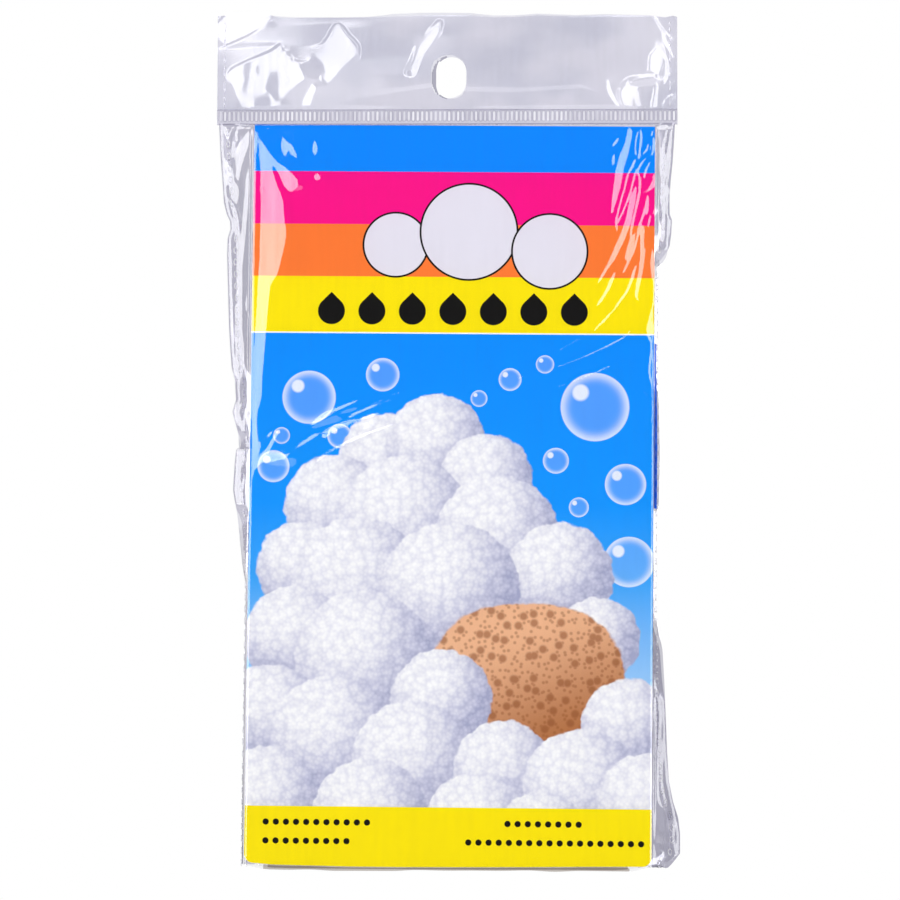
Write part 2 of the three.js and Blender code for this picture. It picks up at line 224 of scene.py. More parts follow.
# Folds of the film. Each has the softbox that it shows, or "none" where it lies flat. Patches are
# outlines of X and Z; lines have X, Z and a width at each station.
POCKET_PATCHES = (
    ("left", ((-49.6, -14.4), (-49, -16.5), (-48.7, -18.7), (-48.7, -21.4), (-48.8, -25.1),
        (-49, -27.7), (-48.7, -32.2), (-48.5, -35.5), (-48.4, -38.8), (-48.4, -43.3),
        (-48.4, -46.6), (-48.6, -49.9), (-48.8, -53.1), (-49, -58.3), (-50.3, -79.5),
        (-50.3, -86.3), (-50.4, -93), (-50.2, -97.1), (-50.4, -101.2), (-49.6, -99.8),
        (-48.9, -98.5), (-47.8, -96.1), (-49, -95.8), (-49.1, -89.7), (-48.9, -87.3),
        (-48.2, -85.9), (-47.7, -83.5), (-47.7, -79.5), (-46.2, -58.3), (-45.8, -54.4),
        (-45, -53.1), (-44.1, -52.1), (-43.4, -49.9), (-42.3, -45.3), (-41.7, -42), (-41.6, -40.1),
        (-42.1, -38.8), (-42.4, -35.5), (-42.5, -32.9), (-43.2, -30), (-44, -27.7), (-44.6, -25.7),
        (-45.5, -23.7), (-46.8, -21.4), (-47.8, -18.8), (-48.8, -16.5))),
    ("left", ((-48.3, -17.5), (-46.1, -20.5), (-43.9, -22.8), (-41.9, -24.2), (-40.6, -25.4),
        (-38.8, -27), (-38.5, -28.7), (-40.2, -30), (-41.7, -30), (-42.7, -28.3), (-43.5, -25.7),
        (-44.8, -23.7), (-46.8, -21.1))),
    ("none", ((-45, -24.2), (-44, -26.2), (-43.1, -28.3), (-43.3, -28.8), (-44.2, -27.6),
        (-45.1, -25.2))),
    ("none", ((-48, -30.1), (-47.4, -28.3), (-47.3, -29), (-47.6, -30.3))),
    ("left", ((-43.2, -17.9), (-42.5, -15.7), (-42, -16.9), (-40.6, -17.9), (-40.3, -17.2),
        (-39.9, -18.8), (-38.9, -20.8), (-39.3, -21.6), (-40.3, -20.5), (-41, -19.2),
        (-41.8, -20.1), (-42.6, -20.6), (-43.1, -19.5))),
    ("left", ((-35.1, -18.9), (-34.5, -16.6), (-33.6, -18.2), (-33.9, -20.5), (-34.8, -20.3))),
    ("left", ((-34.9, -27), (-34.1, -25.7), (-32.6, -26.1), (-32.7, -27), (-34.4, -27.3))),
    ("top", ((-47.8, -13.8), (-47, -13.3), (-45.8, -13.1), (-46.4, -13.8), (-47.4, -14))),
    ("top", ((-34.9, -91.3), (-33.1, -88.3), (-31.1, -86.6), (-28.7, -85.7), (-24.6, -84.7),
        (-20.9, -83.7), (-21.9, -84.5), (-26, -86.8), (-29.4, -88.3), (-32.1, -89.7),
        (-34.4, -91.2))),
    ("top", ((-42.5, -93.6), (-41.2, -91.2), (-39.5, -89.6), (-36.5, -87.9), (-36.6, -88.7),
        (-39.2, -90.5), (-40.9, -92.3), (-42.2, -93.6))),
    ("top", ((-41.8, -100), (-40.5, -98), (-38.1, -95.8), (-35.4, -93.9), (-32.7, -92.5),
        (-32.2, -93), (-33.1, -94.1), (-36.1, -96.1), (-39.1, -98.1), (-41.3, -99.8))),
    ("top", ((-32.2, -93.1), (-30.4, -91.7), (-27.7, -90.7), (-23.3, -89.5), (-19.2, -88.1),
        (-14.8, -87.2), (-19.2, -89.3), (-23.3, -90.4), (-24.9, -91.2), (-27.3, -92), (-30, -93.6),
        (-31.2, -94.2), (-31.5, -93.4))),
    ("top", ((-34, -101.2), (-32, -98.8), (-29.3, -97.1), (-25.9, -95.1), (-20.9, -93),
        (-15.8, -91.3), (-10.4, -89.7), (-13.1, -91.2), (-19.2, -93.4), (-24.2, -95.6),
        (-28.6, -97.6), (-31.3, -99.3), (-33.7, -101.2))),
    ("right", ((47.1, -12.8), (47.4, -13.2), (48.1, -14), (48.9, -13.2), (48.6, -14), (47.8, -16.9),
        (46.9, -21), (46, -23.9), (45.6, -26.3), (44.9, -29.8), (44, -33), (42.9, -36.5),
        (42.7, -36), (43, -31.7), (43.6, -27.7), (43.9, -25), (44.6, -21.8), (46, -18.6),
        (46.8, -15.9))),
    ("right", ((48.9, -29), (47.8, -31.9), (47, -34.9), (46.3, -38.4), (45.4, -41), (43.8, -44.5),
        (42.2, -48.2), (41.7, -49.4), (40, -52.2), (38.8, -55), (39.3, -54.5), (40.8, -52.2),
        (42.6, -49.4), (43.5, -48.2), (45.9, -43.7), (47.1, -40.5), (47.8, -37.8), (48.5, -34.6),
        (49.1, -31.4), (49.2, -29.8), (49.1, -28.7))),
    ("right", ((49.2, -49.1), (49.2, -50.5), (48.5, -53.1), (47.3, -56.1), (45.6, -58.5),
        (43.8, -61), (41.1, -64.2), (37.9, -67.2), (37.5, -67), (40.3, -64), (43.1, -61.2),
        (44.7, -58.7), (46.4, -56.4), (47.5, -53.6), (48.2, -51.2))),
    ("right", ((44, -50.8), (43.4, -53.1), (42.1, -56.1), (40.4, -58.8), (38.2, -61.2),
        (39.2, -59.3), (40.9, -56.8), (42.3, -53.6), (43.2, -51.9))),
    ("right", ((52.1, -31.1), (52.5, -31.7), (52.4, -34.4), (52.1, -36.4), (51.5, -35.8),
        (51.6, -33.6))),
    ("right", ((50.3, -39.4), (51.3, -39.3), (51.4, -41.8), (51.1, -44.8), (50.4, -48.2),
        (50.2, -43.7))),
    ("right", ((47.8, -41.8), (49.2, -40.8), (48.6, -43.7), (47.4, -48.2), (46.2, -48.2),
        (46.7, -45))),
    ("right", ((52.4, -64.6), (53.3, -64.6), (53.3, -67.4), (52, -67.4))),
    ("right", ((45, -16), (44.3, -17.5), (43, -18.6), (43.1, -17.8), (44.1, -16.5))),
    ("right", ((43.6, -20.7), (43.7, -22.8), (42.9, -23.5), (43, -21.2))),
)
POCKET_LINES = (
    ("left", ((50.09, -13.68, 0.26), (49.29, -16.15, 0.37), (49.02, -18.83, 0.37),
        (49.28, -21.65, 0.32))),
    ("right", ((50.28, -13.68, 0.21), (50.54, -16.15, 0.32), (50.27, -18.83, 0.32),
        (49.86, -21.51, 0.26))),
    ("right", ((53.46, -14.68, 0.21), (52.73, -17.5, 0.21), (51.27, -20.18, 0.21),
        (49.15, -21.78, 0.32), (48.22, -23.65, 0.32), (47.02, -26.06, 0.32), (46.09, -29.81, 0.32),
        (45.16, -33.02, 0.32), (44.36, -36.23, 0.37), (43.96, -38.1, 0.47), (44.14, -40.23, 0.21))),
    ("right", ((48.88, -25.53, 0.26), (48.21, -28.47, 0.32), (47.28, -31.68, 0.37),
        (45.95, -35.16, 0.42), (44.62, -38.1, 0.42))),
    ("left", ((53.35, -16.16, 0.21), (52.87, -18.03, 0.26), (52.99, -20.45, 0.26))),
    ("right", ((53.66, -16.43, 0.21), (53.71, -18.57, 0.26), (53.18, -20.71, 0.21))),
    ("right", ((52.86, -20.71, 0.21), (51, -22.32, 0.21), (49.94, -24.19, 0.21))),
    ("right", ((52.8, -22.64, 0.21), (51.74, -24.73, 0.26), (51.12, -26.74, 0.21))),
    ("right", ((49.46, -24.78, 0.26), (49.99, -26.12, 0.37), (51.26, -26.74, 0.21))),
    ("right", ((50.09, -26.6, 0.21), (50.19, -29.01, 0.26), (49.66, -32.49, 0.26),
        (48.85, -36.23, 0.26), (48.05, -39.7, 0.26), (47.65, -41.84, 0.21))),
    ("right", ((53.96, -26.47, 0.21), (53.1, -28.75, 0.26), (51.78, -30.49, 0.21))),
    ("right", ((53.95, -28.88, 0.21), (52.84, -29.82, 0.26), (51.25, -30.35, 0.26))),
    ("right", ((53.93, -35.7, 0.32), (52.87, -36.77, 0.37), (52.55, -38.64, 0.32),
        (52.23, -40.24, 0.26))),
    ("right", ((51.45, -34.63, 0.21), (50.76, -37.03, 0.26), (50.06, -39.17, 0.26))),
    ("right", ((49.9, -39.44, 0.26), (49.5, -42.37, 0.37), (48.57, -45.84, 0.37),
        (47.38, -48.19, 0.32), (45.92, -51.44, 0.21))),
    ("right", ((50.66, -45.58, 0.28), (50.17, -50.13, 0.35), (49.33, -54.32, 0.42),
        (49.11, -57.47, 0.35), (50.01, -58.93, 0.35), (52.09, -59.98, 0.28))),
    ("right", ((51.36, -45.58, 0.28), (50.79, -50.13, 0.35), (49.95, -54.32, 0.35),
        (49.53, -56.77, 0.28))),
    ("right", ((53.33, -60.96, 0.28), (52.63, -63.75, 0.48), (52.14, -66.19, 0.62),
        (52.48, -68.63, 0.55), (53.17, -70.03, 0.48), (52.81, -73.51, 0.42), (52.53, -76.99, 0.42),
        (52.94, -79.78, 0.35), (53.93, -81.86, 0.28))),
    ("left", ((51, -82.21, 0.28), (52.03, -83.95, 0.42), (53.23, -85.51, 0.28))),
    ("left", ((51.39, -88.99, 0.21), (52.36, -90.2, 0.35), (53.11, -91.24, 0.21))),
    ("right", ((53.37, -45.93, 0.35), (53.22, -49.08, 0.55), (53.35, -52.58, 0.35))),
    ("top", ((36.02, -67.88, 0.31), (33.3, -69.44, 0.42), (30.71, -70.87, 0.36),
        (28.39, -72.17, 0.26))),
    ("top", ((47.52, -66.71, 0.26), (46.23, -68.14, 0.42), (43.9, -69.44, 0.47),
        (41.31, -70.79, 0.42), (38.73, -72.02, 0.36), (36.32, -73.11, 0.36))),
    ("top", ((36.14, -73.19, 0.36), (31.36, -75.11, 0.42), (26.42, -76.93, 0.42),
        (21.48, -78.41, 0.31), (17.01, -79.32, 0.26))),
    ("top", ((42.86, -75.69, 0.26), (39.76, -76.98, 0.31), (37.95, -77.76, 0.36),
        (34.59, -79.09, 0.36), (32, -80.05, 0.31))),
    ("top", ((30.97, -80.49, 0.52), (29.42, -81.01, 0.36), (26.42, -81.9, 0.26))),
    ("top", ((-25.13, -88.9, 0.34), (-24.29, -88.36, 0.74), (-21.92, -87.27, 0.34),
        (-19.22, -85.91, 0.27), (-15.85, -84.04, 0.27), (-11.11, -82.45, 0.2))),
    ("top", ((-24.29, -88.9, 0.27), (-22.26, -87.95, 0.34), (-19.22, -86.66, 0.27),
        (-15.84, -85.16, 0.27), (-13.48, -84.38, 0.2))),
    ("left", ((-43.9, -93.15, 0.2), (-45.23, -96.11, 0.34), (-47.24, -99.16, 0.47),
        (-49.59, -102.05, 0.68), (-50.19, -103.06, 0.41))),
    ("left", ((-44.91, -93.05, 0.2), (-45.42, -93.39, 0.34), (-45.86, -94, 0.2))),
)
MARGIN_LINES = (
    ("left", ((-49.69, -14.66, 0.32), (-50.56, -21.05, 0.64), (-51.8, -28.58, 0.84),
        (-52.55, -36.75, 0.84), (-53.14, -44.91, 0.77), (-53.64, -51.43, 0.71),
        (-53.75, -58.53, 0.58))),
    ("left", ((-51.25, -14.65, 0.19), (-52.63, -17.11, 2.25), (-53.74, -20.39, 2.06),
        (-54.17, -24.32, 0.96), (-54.31, -26.94, 0.19))),
    ("left", ((-55.88, -33.48, 0.26), (-54.98, -36.75, 0.51), (-54.39, -41.65, 0.71),
        (-54.03, -46.54, 0.64), (-54.05, -53.06, 0.64), (-54.17, -58.53, 0.51))),
    ("left", ((-50.35, -36.1, 0.19), (-50.65, -40.02, 0.51), (-50.8, -44.91, 0.9),
        (-50.89, -51.43, 1.16), (-51.03, -58.53, 1.16))),
    ("left", ((-56.35, -27.26, 0.96), (-55.36, -29.55, 2.12), (-55.02, -31.52, 1.16),
        (-54.92, -32.66, 0.16))),
    ("left", ((-59.07, -12.18, 0.96), (-58.25, -13.17, 1.61), (-57.75, -14.81, 1.29),
        (-57.25, -15.96, 0.32))),
    ("left", ((-55.82, -12.19, 0.32), (-56.45, -14.32, 0.58), (-57.09, -15.79, 0.26))),
    ("left", ((-54.36, -12.19, 0.32), (-54.92, -15.14, 0.45), (-54.65, -16.45, 0.26))),
    ("left", ((-57.52, -22.68, 0.77), (-56.7, -24.64, 1.41), (-56.84, -26.93, 1.16),
        (-57.64, -28.57, 0.58), (-58.12, -29.06, 0.26))),
    ("left", ((-53.58, -57.21, 0.49), (-53.6, -61.34, 0.6), (-53.73, -66.3, 0.98),
        (-53.34, -70.42, 1.25), (-53.18, -73.71, 1.03), (-53.29, -77.56, 0.65),
        (-53.74, -79.2, 0.38))),
    ("left", ((-54.52, -59.97, 0.27), (-54.48, -64.1, 0.44), (-54.45, -68.22, 0.38),
        (-54.2, -72.62, 0.38), (-54.39, -76.46, 0.44), (-54.1, -79.2, 0.33), (-54.27, -81.95, 0.44),
        (-54.05, -84.69, 0.27))),
    ("left", ((-51.33, -57.22, 0.54), (-51.65, -58.87, 0.65), (-51.58, -61.07, 0.54),
        (-51.13, -62.45, 0.22))),
    ("left", ((-53.49, -86.33, 0.27), (-54.03, -87.97, 0.6), (-53.47, -90.16, 0.82),
        (-52.98, -92.9, 1.52), (-52.47, -95.09, 1.74), (-52.32, -97.55, 1.52),
        (-52.71, -100.23, 1.25))),
    ("left", ((-51.07, -81.95, 0.27), (-51.31, -86.06, 0.6), (-51.78, -88.79, 0.93),
        (-52.09, -90.98, 0.82), (-52.49, -92.9, 0.27))),
    ("left", ((-53.13, -98.92, 0.82), (-52.98, -100.56, 0.98), (-53.46, -102.19, 0.49),
        (-53.62, -105.74, 0.54), (-53.41, -108.2, 0.98), (-52.9, -110.65, 1.47),
        (-52.56, -112.56, 1.36), (-51.79, -113.65, 0.49))),
    ("left", ((-51.6, -102.47, 0.38), (-51.85, -104.92, 0.49), (-52.79, -107.38, 0.44),
        (-53.41, -108.2, 0.38))),
    ("top", ((-52.73, -115.29, 0.38), (-51.91, -115.29, 0.82), (-51.18, -115.48, 0.27))),
    ("left", ((-52.8, -116.38, 0.38), (-52.28, -120.73, 0.65), (-51.84, -124.81, 0.71),
        (-51.41, -128.35, 0.38))),
    ("left", ((-50.91, -115.29, 0.33), (-50.79, -119.64, 0.38), (-50.75, -124.81, 0.38),
        (-50.74, -130.25, 0.38), (-50.77, -134.32, 0.33), (-50.77, -141.37, 0.27))),
    ("right", ((55.07, -11.97, 0.52), (55.06, -16.74, 0.68), (55.31, -21.51, 0.47),
        (55.16, -25.74, 0.31))),
    ("right", ((57.69, -12.24, 0.26), (56.89, -15.68, 0.57), (56.23, -19.39, 0.68),
        (56.16, -23.63, 0.63), (56.08, -27.33, 0.68), (55.93, -31.56, 0.63), (56.24, -35.26, 0.57),
        (56.22, -39.21, 0.52), (56.11, -42.91, 0.36))),
    ("right", ((58.34, -14.36, 0.42), (57.93, -17.54, 0.52), (57.4, -20.72, 0.57),
        (57, -24.69, 0.52), (56.47, -27.06, 0.31))),
    ("right", ((59.13, -12.24, 0.68), (59.17, -15.69, 0.94), (58.71, -19.39, 0.83),
        (58.57, -22.57, 0.73), (58.17, -25.22, 0.42), (57.38, -28.39, 0.31), (56.93, -30.5, 0.26))),
    ("right", ((54.37, -30.76, 0.47), (54.89, -32.35, 0.52), (54.67, -35.52, 0.42),
        (55, -38.69, 0.42), (55.38, -42.91, 0.31))),
    ("right", ((57.49, -34.2, 0.31), (57.61, -37.63, 0.42), (57.47, -41.85, 0.36),
        (57.85, -44.49, 0.42))),
    ("right", ((53.91, -145.29, 0.36), (54.21, -152.03, 0.45), (54.41, -158.77, 0.45),
        (55.07, -165.06, 0.45), (54.83, -172.23, 0.36), (54.36, -178.94, 0.45),
        (54.35, -183.86, 0.45), (54.78, -187.88, 0.45), (57.02, -190.55, 0.36),
        (59.03, -191.89, 0.36), (57.99, -193.67, 0.32))),
    ("right", ((55.72, -173.12, 0.27), (55.35, -178.94, 0.36), (55.47, -183.86, 0.36),
        (56.35, -187.88, 0.27))),
    ("right", ((58.35, -194.57, 0.27), (58.34, -197.69, 0.36), (59, -200.8, 0.32))),
    ("top", ((53.63, -199.26, 0.23), (55.42, -200.59, 0.27), (56.54, -202.15, 0.41))),
)
HEADER_PATCHES = (
    ("left", ((-60.1, 11.7), (-59.3, 14.2), (-57.6, 16.2), (-53.6, 18.7), (-46.8, 18.6),
        (-46.4, 15.6), (-48.7, 13.7), (-52.2, 11.7), (-56.6, 9.9), (-60.1, 8.7))),
    ("left", ((-58, -0.6), (-55.3, 2.1), (-50.4, 4.3), (-45.6, 6.1), (-43.5, 7.5), (-43.8, 6.1),
        (-44.5, 5), (-42.5, 6), (-41, 5.7), (-41, 3.8), (-42.2, 2.5), (-40.7, 2.8), (-38.8, 3),
        (-37.6, 1.6), (-37.5, -0.6), (-39.2, -1.7), (-41.4, -3.3), (-43, -5.2), (-43.9, -6),
        (-43.6, -8.6), (-46.8, -8.8), (-49.9, -8.8), (-54.7, -8.8), (-55.2, -4.6), (-55.4, -1.9),
        (-56.6, -1.1), (-57.9, -2.3))),
    ("none", ((-53.2, 1.4), (-52.1, 2.8), (-51, 3.2), (-51.3, 1.2), (-52.4, -0.2), (-53.1, 0.3))),
    ("none", ((-50, 3.2), (-48.5, 3.1), (-49.3, 1), (-49.8, 1.6))),
    ("none", ((-47.2, -2.8), (-45.9, 0.5), (-43.8, 1.3), (-44.1, -1.1), (-44.8, -3.3), (-44.4, -6),
        (-45.5, -5.1))),
    ("none", ((-54.2, -4.1), (-52.3, -1.8), (-52.6, -3.6))),
    ("none", ((-49.9, -6.3), (-46.7, -5), (-46, -6), (-47.6, -8.4), (-49.9, -8.4))),
    ("left", ((-41.1, 5.9), (-36.7, 6.5), (-32.3, 7.4), (-30.3, 9.7), (-28.4, 13.6), (-26.4, 10.5),
        (-23.6, 7.4), (-23.6, 5.2), (-25.6, 3.7), (-27.9, 1.9), (-29.6, -0.1), (-31.7, -0.9),
        (-32.4, 0.2), (-31.9, 1.6), (-32.7, 3.4), (-35, 4.7), (-38.5, 5))),
    ("none", ((-37.5, 2.4), (-35, 4.5), (-32.3, 3), (-32.5, 0.7), (-34.5, -0.6), (-36.2, 0.2))),
    ("left", ((-37.8, -8.1), (-36.8, -5.1), (-35.4, -2.6), (-34.5, -3.2), (-36.5, -8.1))),
    ("left", ((-9.8, 1.2), (-8.4, 4.2), (-7.4, 7.4), (-4.7, 10.6), (-2, 13.6), (-2.3, 11.5),
        (-4.3, 8.5), (-6.3, 6.1), (-7.4, 3.6), (-9, 1.1))),
    ("right", ((53.2, 1.5), (53.5, 5.2), (55, 7.1), (56.5, 6.9), (56, 4.5), (55.1, 1.9),
        (54.6, 0.9))),
    ("right", ((45.4, -4.1), (47.5, -1.9), (48, -4.8), (48.3, -8.8), (46.7, -8.8), (45.6, -6.1))),
    ("right", ((48.5, -4.9), (50.2, -3.8), (50, -5.2), (51.2, -8.6), (49.8, -8.6), (48.9, -6.6))),
    ("right", ((53.7, -8.6), (54.3, -5.3), (54.8, -2.8), (55.1, -3.9), (54.8, -8.6))),
)
HEADER_LINES = (
    ("right", ((56.49, 6.86, 0.44), (57.01, 4.76, 0.61), (57.36, 2.31, 0.79), (57.26, -0.37, 0.61),
        (56.28, -3.93, 0.52), (55.04, -8.6, 0.44))),
    ("left", ((58.4, -0.81, 0.35), (56.81, -3.48, 0.52), (55.48, -8.38, 0.44))),
    ("top", ((44.34, -2.35, 0.61), (46.19, -0.79, 0.79), (47.95, 0.1, 0.61), (51.02, 0.36, 0.61),
        (53.88, 0.71, 0.44))),
    ("top", ((48.38, -1.15, 0.35), (50.58, -0.44, 0.44), (53.66, 0, 0.35))),
    ("top", ((55.48, -8.6, 0.44), (57.38, -5.35, 0.61), (60.46, -4.16, 0.44))),
    ("right", ((54.49, 15.79, 0.44), (55.89, 13.02, 0.61), (58.3, 10.51, 0.52))),
    ("right", ((55.98, 12.8, 0.44), (57.02, 9, 0.52), (58.86, 5.34, 0.44))),
    ("right", ((41.88, -1.58, 0.35), (42.31, -3.9, 0.79), (43.63, -6.22, 0.87),
        (45.38, -8.58, 0.52))),
)

# Slope, to the right and up, at which film at the origin faces each softbox, and how far off it
# may be
FACING = {
    "left": ((-0.22, -0.12), (0.075, 0.18)),
    "right": ((0.265, -0.12), (0.075, 0.18)),
    "top": ((0.014, 0.222), (0.22, 0.075)),
}
UNLIT_SLOPE = (0.05, 0.0)
FACING_DRIFT = -0.001
FOLD_SLOPES = (0.08, 0.36, 29)
FOLD_MOST_MISS = 0.9
LONG_PATCH = 2.2
FILM_MOST_LIFT = 3.0
LINE_LEAST_WIDTH = 0.42
# Film that is worked out together: its left, right, bottom and top, the cell of the grid, the
# slopes to the right and up that loose film may take, how steep and how soft-edged its patches
# are, the width of the free crease round them, and the rounds of working out
FILM_OF_POCKET = {
    "loose": ((-0.06, 0.045), (-0.1, 0.5)),
    "steep": 0.85,
    "soft": 0.25,
    "crease": 0.0,
    "rounds": 40,
}
FILM_ON_CARD = {**FILM_OF_POCKET, "box": (-51.8, 54.3, -130.0, -12.7), "cell": 0.2}
FILM_BESIDE = {**FILM_OF_POCKET, "box": (-62.0, 62.0, -206.0, -11.5), "cell": 0.3}
FILM_OF_HEADER = {
    "box": (-60.0, 60.0, -9.6, 50.0),
    "cell": 0.3,
    "loose": ((-0.09, 0.01), (-0.08, 0.6)),
    "steep": 0.8,
    "soft": 0.5,
    "crease": 1.2,
    "rounds": 120,
}
NOISE_CELLS = 96
NOISE_START = 400


def linear(colour):
    """A colour written as six hex digits, as the linear values that a shader takes."""
    values = [int(colour[i:i + 2], 16) / 255 for i in (0, 2, 4)]
    bent = [v / 12.92 if v <= 0.04045 else ((v + 0.055) / 1.055) ** 2.4 for v in values]
    return (*bent, 1.0)


# Shapes worked out in arrays


def smooth(low, high, x):
    share = np.clip((x - low) / (high - low), 0, 1)
    return share * share * (3 - 2 * share)


def along(table, x):
    """Values of a table of pairs at positions."""
    return np.interp(x, *zip(*table))


def between(low_left, low_right, high_left, high_right, across, up):
    """Values between four corners."""
    low = low_left * (1 - across) + low_right * across
    high = high_left * (1 - across) + high_right * across
    return low * (1 - up) + high * up


def soft_noise(x, z, cell, seed):
    """Smooth noise from 0 to 1 over cells of one size."""
    lattice = np.random.default_rng(seed).random((NOISE_CELLS, NOISE_CELLS))
    u, v = x / cell + NOISE_START, z / cell + NOISE_START
    i, j = np.floor(u).astype(int), np.floor(v).astype(int)

    def corner(a, b):
        return lattice[(i + a) % NOISE_CELLS, (j + b) % NOISE_CELLS]

    across, up = smooth(0, 1, u - i), smooth(0, 1, v - j)
    return between(corner(0, 0), corner(1, 0), corner(0, 1), corner(1, 1), across, up)


def facets(x, z, length, seed, turns=(0.3, 1.4, 2.5)):
    """Crinkled film: flat facets between straight creases, from 0 to 1."""
    total = np.zeros_like(x)
    for k, turn in enumerate(turns):
        warp = soft_noise(x, z, 2.2 * length, seed + k)
        warp = warp + 0.35 * soft_noise(x, z, 0.8 * length, seed + 10 + k)
        run = (x * math.cos(turn) + z * math.sin(turn)) / length + 1.6 * warp
        total += np.abs((run % 2) - 1)
    return total / len(turns)


def smooth_line(stations, steps=14):
    """Points of a smooth line through the stations."""
    points = np.array(stations, float)
    padded = np.vstack([2 * points[0] - points[1], points, 2 * points[-1] - points[-2]])
    t = np.linspace(0, 1, steps, endpoint=False)[:, None]
    pieces = []
    for i in range(len(points) - 1):
        a, b, c, d = padded[i:i + 4]
        bend = (2 * a - 5 * b + 4 * c - d) * t ** 2
        swing = (3 * b - a - 3 * c + d) * t ** 3
        pieces.append(0.5 * (2 * b + (c - a) * t + bend + swing))
    return np.vstack([*pieces, points[-1:]])


def lit_slope(lamp, across, spot):
    """The slope across a fold at which it shows a softbox best."""
    ideal, slack = map(np.array, FACING[lamp])
    ideal = ideal + FACING_DRIFT * spot
    tries = np.linspace(*FOLD_SLOPES)[:, None] * across * (1 if across @ ideal > 0 else -1)
    miss = (np.abs(tries - ideal) / slack).max(1)
    return tries[miss.argmin()] if miss.min() < FOLD_MOST_MISS else ideal


def patch_slopes(lamp, outline, x, z, steep, soft, crease):
    """How much of each point a patch and the free crease round it cover, and the patch's slope."""
    inside = np.zeros(x.shape, bool)
    away = np.full(x.shape, 1e9)
    for (ax, az), (bx, bz) in zip(outline, np.roll(outline, -1, 0)):
        run = ((x - ax) * (bx - ax) + (z - az) * (bz - az)) / ((bx - ax) ** 2 + (bz - az) ** 2)
        run = np.clip(run, 0, 1)
        away = np.minimum(away, np.hypot(x - ax - run * (bx - ax), z - az - run * (bz - az)))
        inside ^= ((az > z) != (bz > z)) & (x < ax + (z - az) / (bz - az + 1e-12) * (bx - ax))
    inner = np.where(inside, away, -away)
    cover = smooth(-soft, soft, inner)
    bend = smooth(-crease - 0.3, -crease, inner) * (1 - cover) if crease else 0 * cover
    if lamp == "none":
        bend = smooth(-0.8, -0.5, inner) * (1 - cover) if crease else bend
        return cover, np.array(UNLIT_SLOPE), bend
    spot = outline.mean(0)
    _, reach, axes = np.linalg.svd(outline - spot, full_matrices=False)
    if reach[0] < LONG_PATCH * reach[1]:
        slope = steep * (np.array(FACING[lamp][0]) + FACING_DRIFT * spot)
    else:
        slope = lit_slope(lamp, axes[1], spot)
    return cover, slope, bend


def line_slopes(lamp, line, x, z, *_):
    """How much of each point a creased line covers, and the slope across it there."""
    spots = np.stack([x.ravel(), z.ravel()], 1)
    nearest = ((spots[:, None] - line[None, :, :2]) ** 2).sum(2).argmin(1)
    ahead = np.gradient(line[:, :2], axis=0)
    ahead /= np.linalg.norm(ahead, axis=1)[:, None]
    across = np.stack([-ahead[:, 1], ahead[:, 0]], 1)
    away = spots - line[nearest, :2]
    half = np.maximum(line[nearest, 2], LINE_LEAST_WIDTH) / 2
    beside = np.abs((away * across[nearest]).sum(1))
    past = np.abs((away * ahead[nearest]).sum(1))
    cover = (smooth(half + 0.15, half - 0.15, beside) * smooth(0.5, 0.1, past)).reshape(x.shape)
    middle = across.mean(0) / np.linalg.norm(across.mean(0))
    slope = lit_slope(lamp, middle, line[:, :2].mean(0))
    steepness = 1.2 * np.linalg.norm(slope)
    ways = across[nearest] * np.where(across[nearest] @ slope < 0, -steepness, steepness)[:, None]
    return cover, ways.reshape(*x.shape, 2), 0 * cover


def sine_series(values):
    """Sine transform along both axes."""
    for axis in (0, 1):
        values = np.moveaxis(values, axis, 0)
        rest = np.zeros((1, values.shape[1]))
        odd = np.vstack([rest, values, rest, -values[::-1]])
        values = np.moveaxis(-np.fft.rfft(odd, axis=0).imag[1:-1], 0, axis)
    return values


